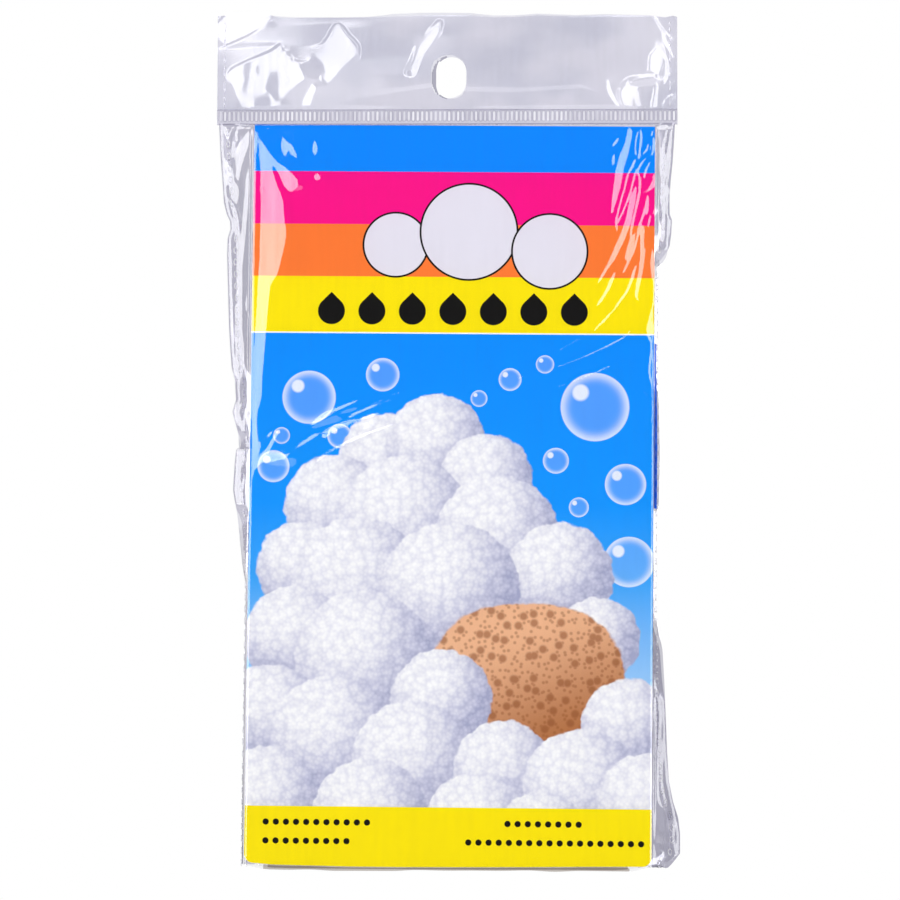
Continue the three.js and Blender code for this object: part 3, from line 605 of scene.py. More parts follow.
def folded_film(patches, lines, box, cell, loose, steep, soft, crease, rounds):
    """Heights of film that takes the slopes of its patches and lines, lies at zero round the rim
    and bends gently between."""
    xs, zs = np.arange(box[0], box[1], cell), np.arange(box[2], box[3], cell)
    x, z = np.meshgrid(xs, zs)
    slopes, fixed, free = np.zeros((*x.shape, 2)), np.zeros(x.shape), np.zeros(x.shape)
    shapes = [(patch_slopes, lamp, np.array(outline)) for lamp, outline in patches]
    shapes += [(line_slopes, lamp, smooth_line(stations)) for lamp, stations in lines]
    for shape, lamp, points in shapes:
        low, high = points[:, :2].min(0) - 1.5, points[:, :2].max(0) + 1.5
        rows = np.searchsorted(zs, (low[1], high[1]))
        columns = np.searchsorted(xs, (low[0], high[0]))
        part = np.s_[slice(*rows), slice(*columns)]
        if not x[part].size:
            continue
        cover, slope, bend = shape(lamp, points, x[part], z[part], steep, soft, crease)
        clear = (1 - cover) * (1 - bend if lamp == "none" else 1)
        slopes[part] = slopes[part] * clear[..., None] - cover[..., None] * slope
        fixed[part] = fixed[part] * clear + cover
        free[part] = np.maximum(free[part], bend)
    rows, columns = x.shape
    bends = [2 * np.cos(np.pi * np.arange(1, n + 1) / (n + 1)) - 2 for n in (rows, columns)]
    bends = (bends[0][:, None] + bends[1][None]) / cell
    rise_x, rise_z = np.zeros((rows, columns + 1)), np.zeros((rows + 1, columns))
    fixed_x, fixed_z = (fixed[:, 1:] + fixed[:, :-1]) / 2, (fixed[1:] + fixed[:-1]) / 2
    free_x, free_z = np.pad(free, ((0, 0), (0, 1))), np.pad(free, ((0, 1), (0, 0)))
    wanted_x = (slopes[:, 1:, 0] + slopes[:, :-1, 0]) / 2
    wanted_z = (slopes[1:, :, 1] + slopes[:-1, :, 1]) / 2
    for _ in range(rounds):
        rise_x[:, 1:-1] = rise_x[:, 1:-1] * (1 - fixed_x) + wanted_x
        rise_z[1:-1] = rise_z[1:-1] * (1 - fixed_z) + wanted_z
        spread = np.diff(rise_x, axis=1) + np.diff(rise_z, axis=0)
        height = sine_series(sine_series(spread) / bends) / (4 * (rows + 1) * (columns + 1))
        height = np.clip(height, 0, FILM_MOST_LIFT)
        rise_x = np.diff(np.pad(height, ((0, 0), (1, 1))), axis=1) / cell
        rise_z = np.diff(np.pad(height, ((1, 1), (0, 0))), axis=0) / cell
        rise_x = free_x * rise_x + (1 - free_x) * np.clip(rise_x, *loose[0])
        rise_z = free_z * rise_z + (1 - free_z) * np.clip(rise_z, *loose[1])
    return xs, zs, height


def height_at(film, x, z):
    """Heights of folded film at points."""
    xs, zs, height = film
    cell = xs[1] - xs[0]
    u = np.clip((x - xs[0]) / cell, 0, len(xs) - 1.001)
    v = np.clip((z - zs[0]) / cell, 0, len(zs) - 1.001)
    j, i = u.astype(int), v.astype(int)
    low, high = (height[i, j], height[i, j + 1]), (height[i + 1, j], height[i + 1, j + 1])
    return between(*low, *high, u - j, v - i)


def spaced(*spans):
    """Positions over spans of (start, end, spacing), each span's end once."""
    runs = [np.linspace(a, b, max(2, round(abs(b - a) / step) + 1))[:-1] for a, b, step in spans]
    return np.concatenate([*runs, [spans[-1][1]]])


# Meshes


def deselect():
    bpy.ops.object.select_all(action="DESELECT")


def named(piece, name):
    piece.name = name
    piece.data.name = name
    return piece


def sheet_from(name, points):
    """A grid with rows by columns of points. Its faces look towards -Y when the rows go down and
    the columns to the right."""
    rows, columns = points.shape[:2]
    deselect()
    bpy.ops.mesh.primitive_grid_add(x_subdivisions=columns - 1, y_subdivisions=rows - 1, size=2)
    piece = named(bpy.context.object, name)
    flat = np.empty(len(piece.data.vertices) * 3)
    piece.data.vertices.foreach_get("co", flat)
    flat = flat.reshape(-1, 3)
    column = np.rint((flat[:, 0] + 1) / 2 * (columns - 1)).astype(int)
    row = np.rint((1 - flat[:, 1]) / 2 * (rows - 1)).astype(int)
    piece.data.vertices.foreach_set("co", (points[row, column] * MM).ravel())
    piece.data.update()
    bpy.ops.object.shade_smooth()
    return piece


def edit(piece, action, choose=None, kind="FACE"):
    """Runs an action in edit mode on a whole piece, or on the faces or edges that are chosen."""
    deselect()
    piece.select_set(True)
    bpy.context.view_layer.objects.active = piece
    bpy.ops.object.mode_set(mode="EDIT")
    if choose:
        bpy.ops.mesh.select_mode(type=kind)
        bpy.ops.mesh.select_all(action="DESELECT")
        bpy.ops.object.mode_set(mode="OBJECT")
        choose()
        bpy.ops.object.mode_set(mode="EDIT")
    else:
        bpy.ops.mesh.select_all(action="SELECT")
    action()
    bpy.ops.object.mode_set(mode="OBJECT")


def join(pieces, name):
    deselect()
    for piece in pieces:
        piece.select_set(True)
    bpy.context.view_layer.objects.active = pieces[0]
    bpy.ops.object.join()
    return named(bpy.context.object, name)


def copies(pattern, places, name):
    """Copies of one modelled pattern at places, given as 4x4 matrices, as one piece."""
    made = []
    for place in places:
        copy = pattern.copy()
        copy.data = pattern.data.copy()
        bpy.context.scene.collection.objects.link(copy)
        copy.data.transform(place)
        made.append(copy)
    bpy.data.objects.remove(pattern)
    return join(made, name)


def place_at(x, y, z):
    return Matrix.Translation((x * MM, y * MM, z * MM))


def face_middles(piece):
    """X, Y and Z of the middles of a piece's faces."""
    middles = np.empty(len(piece.data.polygons) * 3)
    piece.data.polygons.foreach_get("center", middles)
    return middles.reshape(-1, 3).T / MM


def give_faces(piece, choice):
    """Gives each face the material of a number."""
    piece.data.polygons.foreach_set("material_index", choice.astype(np.int32))
    piece.data.update()


def dress(piece, material, body, slot, *nodes):
    """Gives a piece its material and body, and hides the CAD nodes that it stands for."""
    if material is not None:
        piece.data.materials.clear()
        piece.data.materials.append(material)
    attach(piece, body)
    if nodes:
        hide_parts(*nodes)
    return piece


# Shader maths


def math_node(operation, swapped=False):
    """An operator that adds a Math node."""

    def apply(value, other):
        values = (other, value) if swapped else (value, other)
        return value.shader.math(operation, *values)

    return apply


class Value:
    """A node's output: an expression on it adds Math nodes."""

    def __init__(self, shader, socket):
        self.shader = shader
        self.socket = socket

    __add__ = __radd__ = math_node("ADD")
    __sub__ = math_node("SUBTRACT")
    __rsub__ = math_node("SUBTRACT", swapped=True)
    __mul__ = __rmul__ = math_node("MULTIPLY")
    __truediv__ = math_node("DIVIDE")
    __pow__ = math_node("POWER")
    __gt__ = math_node("GREATER_THAN")
    __lt__ = math_node("LESS_THAN")


class Shader:
    """The node tree of a material or a world."""

    def __init__(self, owner):
        self.owner = owner
        owner.use_nodes = True
        self.tree = owner.node_tree
        self.tree.nodes.clear()

    def node(self, kind, sockets, settings):
        """A node of a kind, with its settings made first, then its sockets set or linked."""
        node = self.tree.nodes.new("ShaderNode" + kind)
        for key, value in settings.items():
            setattr(node, key, value)
        for key, value in (sockets or {}).items():
            if isinstance(value, Value):
                self.tree.links.new(value.socket, node.inputs[key])
            else:
                node.inputs[key].default_value = value
        return node

    def add(self, kind, sockets=None, output=0, **settings):
        """One output of a new node."""
        return Value(self, self.node(kind, sockets, settings).outputs[output])

    def math(self, operation, *values):
        return self.add("Math", dict(enumerate(values)), operation=operation)

    def step(self, low, high, x):
        """0 below low and 1 above high, smooth between."""
        if low > high:
            return 1 - self.step(high, low, x)
        sockets = {"Value": x, "From Min": low, "From Max": high}
        return self.add("MapRange", sockets, interpolation_type="SMOOTHSTEP")

    def mix(self, share, a, b):
        return self.add("Mix", {0: share, 6: a, 7: b}, 2, data_type="RGBA")

    def ramp(self, factor, stops):
        node = self.node("ValToRGB", {0: factor}, {})
        elements = node.color_ramp.elements
        while len(elements) < len(stops):
            elements.new(1.0)
        for element, (position, colour) in zip(elements, stops):
            element.position = position
            element.color = linear(colour)
        return Value(self, node.outputs[0])

    def place(self, scale=(1, 1, 1), rotation=(0, 0, 0), vector=None):
        """Object coordinates, or another vector, turned and scaled."""
        vector = vector or self.add("TexCoord", None, "Object")
        return self.add("Mapping", {"Vector": vector, "Rotation": rotation, "Scale": scale})

    def split(self, vector):
        node = self.node("SeparateXYZ", {0: vector}, {})
        return [Value(self, output) for output in node.outputs]

    def noise(self, vector, scale, detail=2.0):
        return self.add("TexNoise", {"Vector": vector, "Scale": scale, "Detail": detail})

    def voronoi(self, vector, scale, dimensions="3D"):
        sockets = {"Vector": vector, "Scale": scale}
        return self.add("TexVoronoi", sockets, voronoi_dimensions=dimensions)

    def bump(self, height, distance, strength=1.0):
        return self.add("Bump", {"Height": height, "Distance": distance, "Strength": strength})

    def facing(self):
        """0 where the surface faces the eye and 1 at the edge of sight."""
        return self.add("LayerWeight", {"Blend": 0.5}, "Facing")

    def principled(self, colour, roughness, **more):
        """A surface; the names of further sockets have underscores for spaces."""
        sockets = {key.replace("_", " "): value for key, value in more.items()}
        return self.add("BsdfPrincipled", {"Base Color": colour, "Roughness": roughness, **sockets})

    def clear(self, tint):
        return self.add("BsdfTransparent", {"Color": tint})

    def blend(self, share, a, b):
        """Two surfaces mixed."""
        return self.add("MixShader", {0: share, 1: a, 2: b})

    def finish(self, surface, output="OutputMaterial"):
        self.node(output, {"Surface": surface}, {})
        return self.owner


def new_material(name):
    return Shader(bpy.data.materials.new(name))


# Materials


HAZE_ROUGHNESS = 0.36


def film_material(name, tint, gloss, roughness, haze=0.0, painted_veil_tint=None, rim=1.0):
    """Clear film: light passes with a tint, perhaps in cloudy patches of another tint that paint
    soft reflections, and the gloss grows towards the edge of sight."""
    s = new_material(name)
    normal = s.bump(s.noise(s.place(), 420.0, 3.0), 0.000004)

    def gleam(rough):
        return s.principled(linear("FFFFFF"), rough, Metallic=1.0, Normal=normal)

    shine = gleam(roughness)
    if haze:
        shine = s.blend(haze, shine, gleam(HAZE_ROUGHNESS))
    clear = s.clear(linear(tint))
    if painted_veil_tint:
        # Patches of the second tint are painted soft reflections
        cloud = s.step(0.38, 0.62, s.noise(s.place((1.0, 1.0, 1.6)), 34.0, 2.5))
        clear = s.blend(cloud, clear, s.clear(linear(painted_veil_tint)))
    streaks = s.noise(s.place((1.0, 1.0, 0.08)), 900.0, 2.0)
    share = gloss * (0.7 + 0.6 * streaks) + rim * (1 - gloss) * s.facing() ** 5
    return s.finish(s.blend(share, clear, shine))


def melted_film():
    """Film pressed and melted into beads: clear where it lies flat, milky on the steep rims."""
    s = new_material("melted_film")
    milk = s.mix(s.noise(s.place(), 1600.0, 2.0), linear("EDECF3"), linear("FFFFFF"))
    rim = s.principled(milk, 0.25, Specular_IOR_Level=0.8)
    share = 0.04 + 0.7 * s.step(0.1, 0.4, s.facing())
    return s.finish(s.blend(share, s.clear(linear("FBFBFD")), rim))


def crimped_film():
    """The pressed strip: milky pills in a row, lit with painted highlights, each with painted shade
    in a groove round it and painted shade along the fold at its top.
    """
    s = new_material("crimped_film")
    x, _, z = s.split(s.place((1 / MM, 1 / MM, 1 / MM)))
    count = s.math("FLOOR", x / RIB_PITCH)
    across = x - (count + 0.5) * RIB_PITCH
    up = s.math("MAXIMUM", s.math("ABSOLUTE", z - RIB_MIDDLE) - RIB_STRAIGHT, 0.0)
    edge = s.math("SQRT", across * across + up * up) - RIB_RADIUS
    chance = s.add("TexWhiteNoise", {"W": count}, noise_dimensions="1D")
    cloud = s.noise(s.place((1, 1, 0.4)), 260.0, 3.0)
    # Painted shade in the groove round each pill
    groove = s.step(0.2, 0.03, s.math("ABSOLUTE", edge - 0.04))
    # Painted highlight in patches over the pills
    glare = s.step(0.42, 0.66, s.noise(s.place((1, 1, 0.2)), 60.0, 1.0))
    # Each pill's whiteness: partly milky film, partly painted highlight
    milk_and_highlight = s.step(0.05, -0.22, edge) * (0.1 + 0.45 * chance + 0.3 * cloud + 0.5 * glare)
    # Painted shade along the fold at the strip's top
    fold = s.step(SEAL_TOP - 0.35, SEAL_TOP - 0.1, z)
    lip = s.step(*LIP_FADE, z)
    shade = s.math("MAXIMUM", (0.2 + 0.5 * chance) * groove, 0.5 * fold)
    colour = s.mix(cloud, linear("B6B4C2"), linear("D3D1DE"))
    colour = s.mix(0.7 * lip, colour, linear("DAD9E3"))
    colour = s.mix(shade, colour, linear("9493A3"))
    colour = s.mix(milk_and_highlight, colour, linear("FBFAFF"))
    body = s.principled(colour, 0.24, Specular_IOR_Level=0.7)
    return s.finish(s.blend(0.66, s.clear(linear("E9E8F1")), body))


# Print on the card, in millimetres from the card's middle
BANDS = (
    (83.15, "008CFF"), (69.35, "FD0A8C"), (55.65, "FF7F36"), (41.1, "FFE900"), (40.75, "FFFFFF"),
)
PICTURE_TOP = 40.75
PICTURE_BOTTOM = -81.35
SKY = (
    (0.0, "0092FF"), (0.36, "0A9AFF"), (0.52, "3CA9FB"), (0.74, "9CCEFB"), (0.93, "DDE4F7"),
    (1.0, "E6E8F8"),
)
FOAM = ((0.0, "A9ACCB"), (0.35, "CDCEE2"), (0.7, "ECECF4"), (1.0, "FFFFFF"))
DISCS = ((-15.0, 64.0, 8.2), (4.0, 67.5, 12.4), (25.0, 62.5, 9.6))
# Heaps of suds from back to front: X, Z and radius
SUDS_BEHIND = (
    (-17, 8, 12), (-4, 12, 13), (9, 3, 12), (-30, -4, 13), (-12, -8, 17), (12, -12, 16),
    (-38, -20, 12), (28, -22, 14), (-24, -24, 17), (0, -26, 18), (-40, -38, 13), (38, -38, 11),
    (-22, -44, 18),
)
SUDS_BEFORE = (
    (-46, -58, 13), (-2, -54, 13), (46, -60, 12), (-30, -64, 16), (-9, -70, 16), (14, -72, 13),
    (34, -76, 15), (-46, -80, 14), (51, -80, 13), (-20, -84, 15), (8, -86, 14), (24, -89, 12),
)
SPONGE = (20.0, -50.0, 25.0, 21.0)
BUBBLES = (
    (-37, 24, 7.0), (-29, 14, 3.2), (-46, 6, 4.2), (37, 22, 9.0), (27, 8, 3.4), (45, 2, 5.4),
    (-18, 30, 4.4), (15, 29, 3.0), (24, 33, 2.4), (46, -18, 6.6), (-44, 14, 2.2), (7, 24, 2.2),
    (33, -4, 2.6),
)
# Rows of drops and dots: left, right, height, spacing and size
DROPS = ((-36.75, 36.75, 46.6, 10.5, 3.5),)
DOTS = (
    (-48.0, -19.4, -85.4, 2.6, 0.8), (-48.0, -24.6, -90.2, 2.6, 0.8),
    (14.0, 34.8, -85.4, 2.6, 0.8), (4.0, 50.8, -90.2, 2.6, 0.8),
)


def card_print():
    """Printed board: colour bands and a picture of bath suds in front, plain board behind."""
    s = new_material("printed_board")
    middle = (CARD_SHIFT * MM, 0, CARD_MIDDLE * MM)
    coords = s.add("TexCoord", None, "Object")
    centred = s.add("VectorMath", {0: coords, 1: middle}, operation="SUBTRACT")
    local = s.place((1 / MM, 1 / MM, 1 / MM), (0, -CARD_TILT, 0), centred)
    x, y, z = s.split(local)
    flat = s.add("CombineXYZ", {"X": x, "Y": z})

    def away(cx, cz):
        return s.add("VectorMath", {0: flat, 1: (cx, cz, 0)}, "Value", operation="DISTANCE")

    def spots(scale, wide, narrow):
        return s.step(wide, narrow, s.voronoi(flat, scale, "2D"))

    picture = s.ramp((PICTURE_TOP - z) / (PICTURE_TOP - PICTURE_BOTTOM), SKY)

    # Soap bubbles: a pale body, a bright rim and a glint
    for cx, cz, radius in BUBBLES:
        reach = away(cx, cz) / radius
        body = s.step(1.0, 0.97, reach)
        rim = s.step(0.45, 1.0, reach) ** 3 * body
        glint = s.step(0.3, 0.18, away(cx - 0.42 * radius, cz + 0.42 * radius) / radius)
        bubble = s.math("MAXIMUM", 0.1 * body + 0.7 * rim, 0.95 * glint)
        picture = s.mix(bubble, picture, linear("F4F8FF"))

    # Foam cells, shared by all suds
    wobble = 2.4 * s.noise(flat, 0.3, 2.0) - 1.2
    pearls = 0.22 * spots(0.4, 0.75, 0.1) + 0.16 * spots(1.0, 0.75, 0.1)

    def heap_up(colour, heaps):
        for cx, cz, radius in heaps:
            cover = s.step(0.3, -0.3, away(cx, cz) + wobble - radius)
            light = s.step(1.55, 0.25, away(cx - 0.35 * radius, cz + 0.5 * radius) / radius)
            colour = s.mix(cover, colour, s.ramp(0.8 * light + pearls - 0.14, FOAM))
        return colour

    picture = heap_up(picture, SUDS_BEHIND)

    # Bath sponge with pores of two sizes
    sx, sz, half_x, half_z = SPONGE
    across, up = (x - sx) / half_x, (z - sz) / half_z
    bulge = s.math("ABSOLUTE", across) ** 2.4 + s.math("ABSOLUTE", up) ** 2.4
    sponge = s.step(1.05, 0.97, bulge + 0.07 * wobble)
    pores = s.math("MAXIMUM", spots(0.24, 0.34, 0.14), 0.7 * spots(0.6, 0.36, 0.12))
    skin = s.mix(s.step(-1.0, 0.9, up - 0.45 * across), linear("B4703F"), linear("F2BC93"))
    picture = s.mix(sponge, picture, s.mix(0.65 * pores, skin, linear("94552F")))

    colour = heap_up(picture, SUDS_BEFORE)

    # Colour bands over and under the picture
    for bottom, ink in reversed(BANDS):
        colour = s.mix(z > bottom, colour, linear(ink))
    colour = s.mix(z < PICTURE_BOTTOM, colour, linear("FFE900"))

    # White discs with a dark line round them
    for cx, cz, radius in DISCS:
        reach = away(cx, cz)
        colour = s.mix(s.step(radius + 0.5, radius + 0.4, reach), colour, linear("16110E"))
        colour = s.mix(s.step(radius, radius - 0.1, reach), colour, linear("E9E6F1"))

    # Rows of black water drops and dots
    for row in DROPS + DOTS:
        left, right, level, pitch, size = row
        inside = (x > left) * (x < right)
        dx = pitch / 2 - s.math("PINGPONG", x - left, pitch / 2)
        dz = z - level
        shape = s.step(size + 0.06, size - 0.06, s.math("SQRT", dx * dx + dz * dz))
        if row in DROPS:
            tip = (dx + dz < 1.414 * size) * (dz > 0.707 * size)
            shape = s.math("MAXIMUM", shape, tip)
        colour = s.mix(shape * inside, colour, linear("0B0A0A"))

    # Board
    fibre = s.noise(local, 3.0, 4.0)
    board = s.mix(fibre, linear("D9D5CC"), linear("F0EDE6"))
    front = y < 0.05 - CARD_THICKNESS / 2
    return s.finish(s.principled(
        s.mix(front, board, colour),
        0.75 - 0.15 * front,
        Specular_IOR_Level=0.04,
        Normal=s.bump(fibre, 0.00001),
    ))


def cloth_material():
    """Spun-bonded cloth: matted fibres, pressed together in a pattern of small bond points, with
    painted shade deep in its gathers.
    """
    s = new_material("spun_bonded_cloth")
    coords = s.place()
    fibres = s.noise(s.place((1, 1, 6)), 900.0, 6.0)
    cloud = s.noise(coords, 90.0, 4.0)
    points = s.step(0.30, 0.16, s.voronoi(coords, 720.0))
    trough_shade = s.add("Attribute", None, "Fac", attribute_name="trough_shade")
    colour = s.mix(cloud, linear("DAD9E3"), linear("ECEBF3"))
    # Painted shade in the troughs of the gathers
    colour = s.mix(0.8 * s.step(0.35, 1.0, trough_shade), colour, linear("B5B3C4"))
    colour = s.mix(0.35 * points, colour, linear("C6C4D2"))
    normal = s.bump(0.6 * fibres - 0.8 * points, 0.00012, 0.8)
    return s.finish(s.principled(
        colour, 0.82, Sheen_Weight=0.25, Sheen_Roughness=0.4, Normal=normal,
    ))


def elastic_material():
    """Covered elastic with ribs along it."""
    s = new_material("covered_elastic")
    coords = s.place()
    _, _, z = s.split(coords)
    ribs = s.math("SINE", z * (TAU / 0.0008))
    weave = s.noise(coords, 2500.0, 3.0)
    colour = s.mix(weave, linear("E2DED2"), linear("F7F4EC"))
    return s.finish(s.principled(colour, 0.75, Normal=s.bump(0.5 * ribs + weave, 0.0001)))


def thread_material():
    """Twisted sewing thread."""
    s = new_material("sewing_thread")
    x, _, z = s.split(s.place())
    twist = s.math("SINE", (x + z) * (TAU / 0.0005))
    colour = s.mix(0.5 + 0.5 * twist, linear("E4E2EC"), linear("FFFFFF"))
    return s.finish(s.principled(colour, 0.6, Normal=s.bump(twist, 0.00005)))


# Pieces of the bag


def card_side(side, z):
    """How far out the card's upright edge is at a height."""
    return CARD_WIDTH / 2 + side * (CARD_SHIFT + (z - CARD_MIDDLE) * math.tan(CARD_TILT))


def card_foot(x):
    """The height of the card's bowed bottom edge."""
    out = x - CARD_SHIFT
    return CARD_BOTTOM - out * math.tan(CARD_TILT) - along(CARD_BOW, out)


def fin_point(side, z, reach, off):
    """A point of a side fin, along it from its foot and off its middle plane towards the back."""
    edges = FIN_EDGE_RIGHT if side > 0 else FIN_EDGE_LEFT
    edge = side * along(edges[::-1], z)
    wrap = card_side(side, z) + WRAP_GAP
    lie = min(max(edge - wrap, 0.2) / FIN_LENGTH, 1.0)
    turn = math.acos(lie)
    foot = max(edge - FIN_LENGTH * lie - PLY * math.sin(turn), wrap)
    return (
        side * (foot + reach * math.cos(turn) - off * math.sin(turn)),
        TUCK_DEPTH * math.sin(turn) + reach * math.sin(turn) + off * math.cos(turn),
    )


def wear_round(lines, passes):
    """Wears the corners of section lines round, in place."""
    for _ in range(passes):
        lines[:, 1:-1] = 0.25 * lines[:, :-2] + 0.5 * lines[:, 1:-1] + 0.25 * lines[:, 2:]


def outwards(points, towards):
    """Unit normals of section lines in XY, on the side of one sign of Y."""
    ahead = np.gradient(points[:, :, :2], axis=1)
    ahead /= np.linalg.norm(ahead, axis=2)[:, :, None]
    normal = np.stack([-ahead[:, :, 1], ahead[:, :, 0], np.zeros(ahead.shape[:2])], 2)
    return normal * towards


def section(corners, counts):
    """Points along a line through corners, with a count of steps for each run."""
    runs = [np.linspace(a, b, n, endpoint=False) for a, b, n in zip(corners, corners[1:], counts)]
    return np.vstack([*runs, [corners[-1]]])


def fin_crumple(x, z, seed):
    """Folds in the loose film beside the card: upright, with cross creases."""
    upright = facets(x, 0.12 * z, 1.5, seed, (0.0, 0.35))
    cross = facets(x, z, 4.5, seed + 5, (1.1, 2.0))
    return 0.4 * upright + 0.6 * cross


def askew_rows(heights, x):
    """Heights of a film's rows, which lie along the card's bottom edge at the top of the hem."""
    foot = CARD_BOTTOM - card_foot(x)
    above = smooth(ASKEW_BELOW, HEM_TOP, heights)[:, None]
    below = np.clip((HEM_TOP - heights) / (HEM_TOP - MOUTH), 0, 1)[:, None]
    return heights[:, None] - above * (foot + (along(MOUTH_SAG, x) - foot) * below)


def film_regions(piece, materials, half_width=None):
    """Film that lies on what is packed looks clear, loose film grey, the hem brown with painted
    shadow, loose film low on the right greyer for its layers and painted shade, and film drawn
    round the card's edge painted with a reflection of the card's blue."""
    piece.data.materials.clear()
    for material in materials:
        piece.data.materials.append(material)
    x, y, z = face_middles(piece)
    loose = z > CARD_TOP
    for side in (-1, 1):
        loose |= side * x > (half_width or card_side(side, z) + CARD_MARGIN)
    region = np.where(loose, LOOSE, ON_CONTENTS)
    # Loose film low on the right: greyer for its layers and with painted shade
    region[loose & (x > 0) & (z < BUNCHED_BELOW)] = BUNCHED_AND_SHADED
    # The hem under the card is painted brown as its shadow
    below = z < card_foot(x) - HEM_GAP
    region[below & (x > HEM_SHADE[0]) & (x < HEM_SHADE[1])] = HEM_PAINTED_SHADOW
    if half_width is None:
        # Film beside the card's right edge takes a painted reflection of the card's blue
        beside_reflection = (z < BLUE_REFLECTION_SPAN[0]) & (z > BLUE_REFLECTION_SPAN[1])
        region[loose & (x > 0) & (y < BLUE_REFLECTION_DEPTH) & beside_reflection] = BLUE_REFLECTION
    give_faces(piece, region)
    return piece


def pocket_front_film(materials):
    heights = spaced(*FRONT_ROWS)
    shares = spaced(*FRONT_COLUMNS) / FRONT_COLUMNS[-1][1]
    stations = ((0, -FIN_ROOT), (FIN_LENGTH - FIN_TIP, -FIN_ROOT), (FIN_LENGTH, -PLY))
    rows = []
    for z in heights:
        depth = -PLY - (FRONT_FILM - PLY) * smooth(POCKET_TOP, CARD_TOP + 0.2, z)
        left, right = -card_side(-1, z) - WRAP_GAP, card_side(1, z) + WRAP_GAP
        fins = {side: [fin_point(side, z, *station) for station in stations] for side in (-1, 1)}
        fin_left = section([*fins[-1][::-1], (left, depth)], FIN_STEPS)[:-1]
        fin_right = section([(right, depth), *fins[1]], FIN_STEPS[::-1])[1:]
        middle = np.stack([left + (right - left) * shares, np.full(len(shares), depth)], 1)
        rows.append(np.vstack([fin_left, middle, fin_right]))
    lines = np.array(rows)
    wear_round(lines[:, :FIN_ROUNDED], 4)
    wear_round(lines[:, -FIN_ROUNDED:], 4)
    x = lines[:, :, 0]
    z = askew_rows(heights, x)
    points = np.dstack([lines, z])
    on_card = height_at(folded_film(POCKET_PATCHES, POCKET_LINES, **FILM_ON_CARD), x, z)
    on_card += FRONT_WAVES * soft_noise(x, z, 26, 3) * smooth(POCKET_TOP, POCKET_TOP - 10, z)
    outside = np.maximum(x - card_side(1, z), -x - card_side(-1, z))
    beside = height_at(folded_film((), MARGIN_LINES, **FILM_BESIDE), x, z)
    beside += MARGIN_CREASES * fin_crumple(x + points[:, :, 1], z, 31)
    beside *= smooth(0.2, 1.2, outside)
    beside *= smooth(POCKET_TOP, POCKET_TOP - 2, z)
    lift = np.where(outside > 0, beside, on_card * smooth(0, -0.4, outside))
    points += outwards(points, -1) * lift[:, :, None]
    waves = HEM_WAVES * (soft_noise(x[-HEM_ROWS:], 0 * x[-HEM_ROWS:], 7, 9) - 0.5)
    points[-HEM_ROWS:, :, 2] += waves * np.linspace(0, 1, HEM_ROWS)[:, None]
    piece = sheet_from("pocket_front_sheet", points)
    dress(piece, None, "bag", "clear_film", "pocket_front_film")
    return film_regions(piece, materials)


def pocket_back_film(materials):
    heights = spaced(*BACK_ROWS)
    fin_steps, swell_steps, back_steps = BACK_STEPS
    share = np.linspace(0, 1, swell_steps)
    rows = []
    for z in heights:
        rise = math.sin(math.pi / 2 * min((POCKET_TOP - z) / POCKET_SHOULDER, 1))
        halves = {}
        for side in (-1, 1):
            tip, foot = fin_point(side, z, FIN_LENGTH, PLY), fin_point(side, z, 0, PLY)
            swell = np.stack([
                foot[0] + (side * SWELL_HALF_WIDTH - foot[0]) * share,
                foot[1] + (BACK_FILM - foot[1]) * rise * np.sin(math.pi / 2 * share),
            ], 1)
            halves[side] = np.vstack([section([tip, foot], (fin_steps,))[:-1], swell])
        across = np.linspace(halves[-1][-1], halves[1][-1], back_steps)[1:-1]
        rows.append(np.vstack([halves[-1], across, halves[1][::-1]]))
    lines = np.array(rows)
    wear_round(lines, 2)
    x = lines[:, :, 0]
    z = askew_rows(heights, x)
    points = np.dstack([lines, z])
    beside = smooth(*BACK_MARGIN_FADE, np.abs(x))
    shoulder = smooth(*SHOULDER_FADE, z)
    lift = BACK_WAVES * soft_noise(x, z, 22, 51)
    lift += SHOULDER_CREASES * shoulder * facets(0.8 * x, 0.35 * z, 7, 52, (0.15, 0.5, 2.9))
    creases = BACK_CREASES * (1 - shoulder) * smooth(0.55, 0.9, facets(x, z, 17, 60))
    lift += creases + BACK_MARGIN_CREASES * beside * fin_crumple(x, z, 64)
    lift *= smooth(POCKET_TOP, POCKET_TOP - 3, z)
    points += outwards(points, 1) * lift[:, :, None]
    piece = sheet_from("pocket_back_sheet", points[:, ::-1])
    dress(piece, None, "bag", "clear_film", "pocket_back_film")
    return film_regions(piece, materials, SWELL_HALF_WIDTH)


def round_hole(x, z, centre, width):
    """Pulls a grid's points so that a block of them lines the hang hole; tells which are inside."""
    radius = width / 2
    rise = HOLE_HEIGHT / 2 - radius
    dx, dz = x - centre, z
    distance = np.hypot(dx, dz) + 1e-9
    ux, uz = np.abs(dx) / distance + 1e-6, np.abs(dz) / distance + 1e-6
    block = np.minimum(HOLE_BLOCK[0] * radius / ux, HOLE_BLOCK[1] * HOLE_HEIGHT / uz)
    lean = uz * rise
    cap = lean + np.sqrt(np.maximum(lean ** 2 - rise ** 2 + radius ** 2, 0))
    outline = np.where(radius / ux * uz <= rise, radius / ux, cap)
    share = np.clip(1 - (distance / block - 1) / HOLE_REACH, 0, 1) ** 2
    outside = distance >= block - 1e-6
    moved = np.where(outside, distance + (outline - block) * share, distance * outline / block)
    return centre + dx / distance * moved, dz / distance * moved, ~outside


def cut_hole(piece, inside):
    """Deletes the faces of a grid that have a point inside the hang hole."""
    block = inside[:-1, :-1] | inside[1:, :-1] | inside[:-1, 1:] | inside[1:, 1:]

    def choose():
        piece.data.polygons.foreach_set("select", block[::-1].ravel())

    edit(piece, lambda: bpy.ops.mesh.delete(type="FACE"), choose)


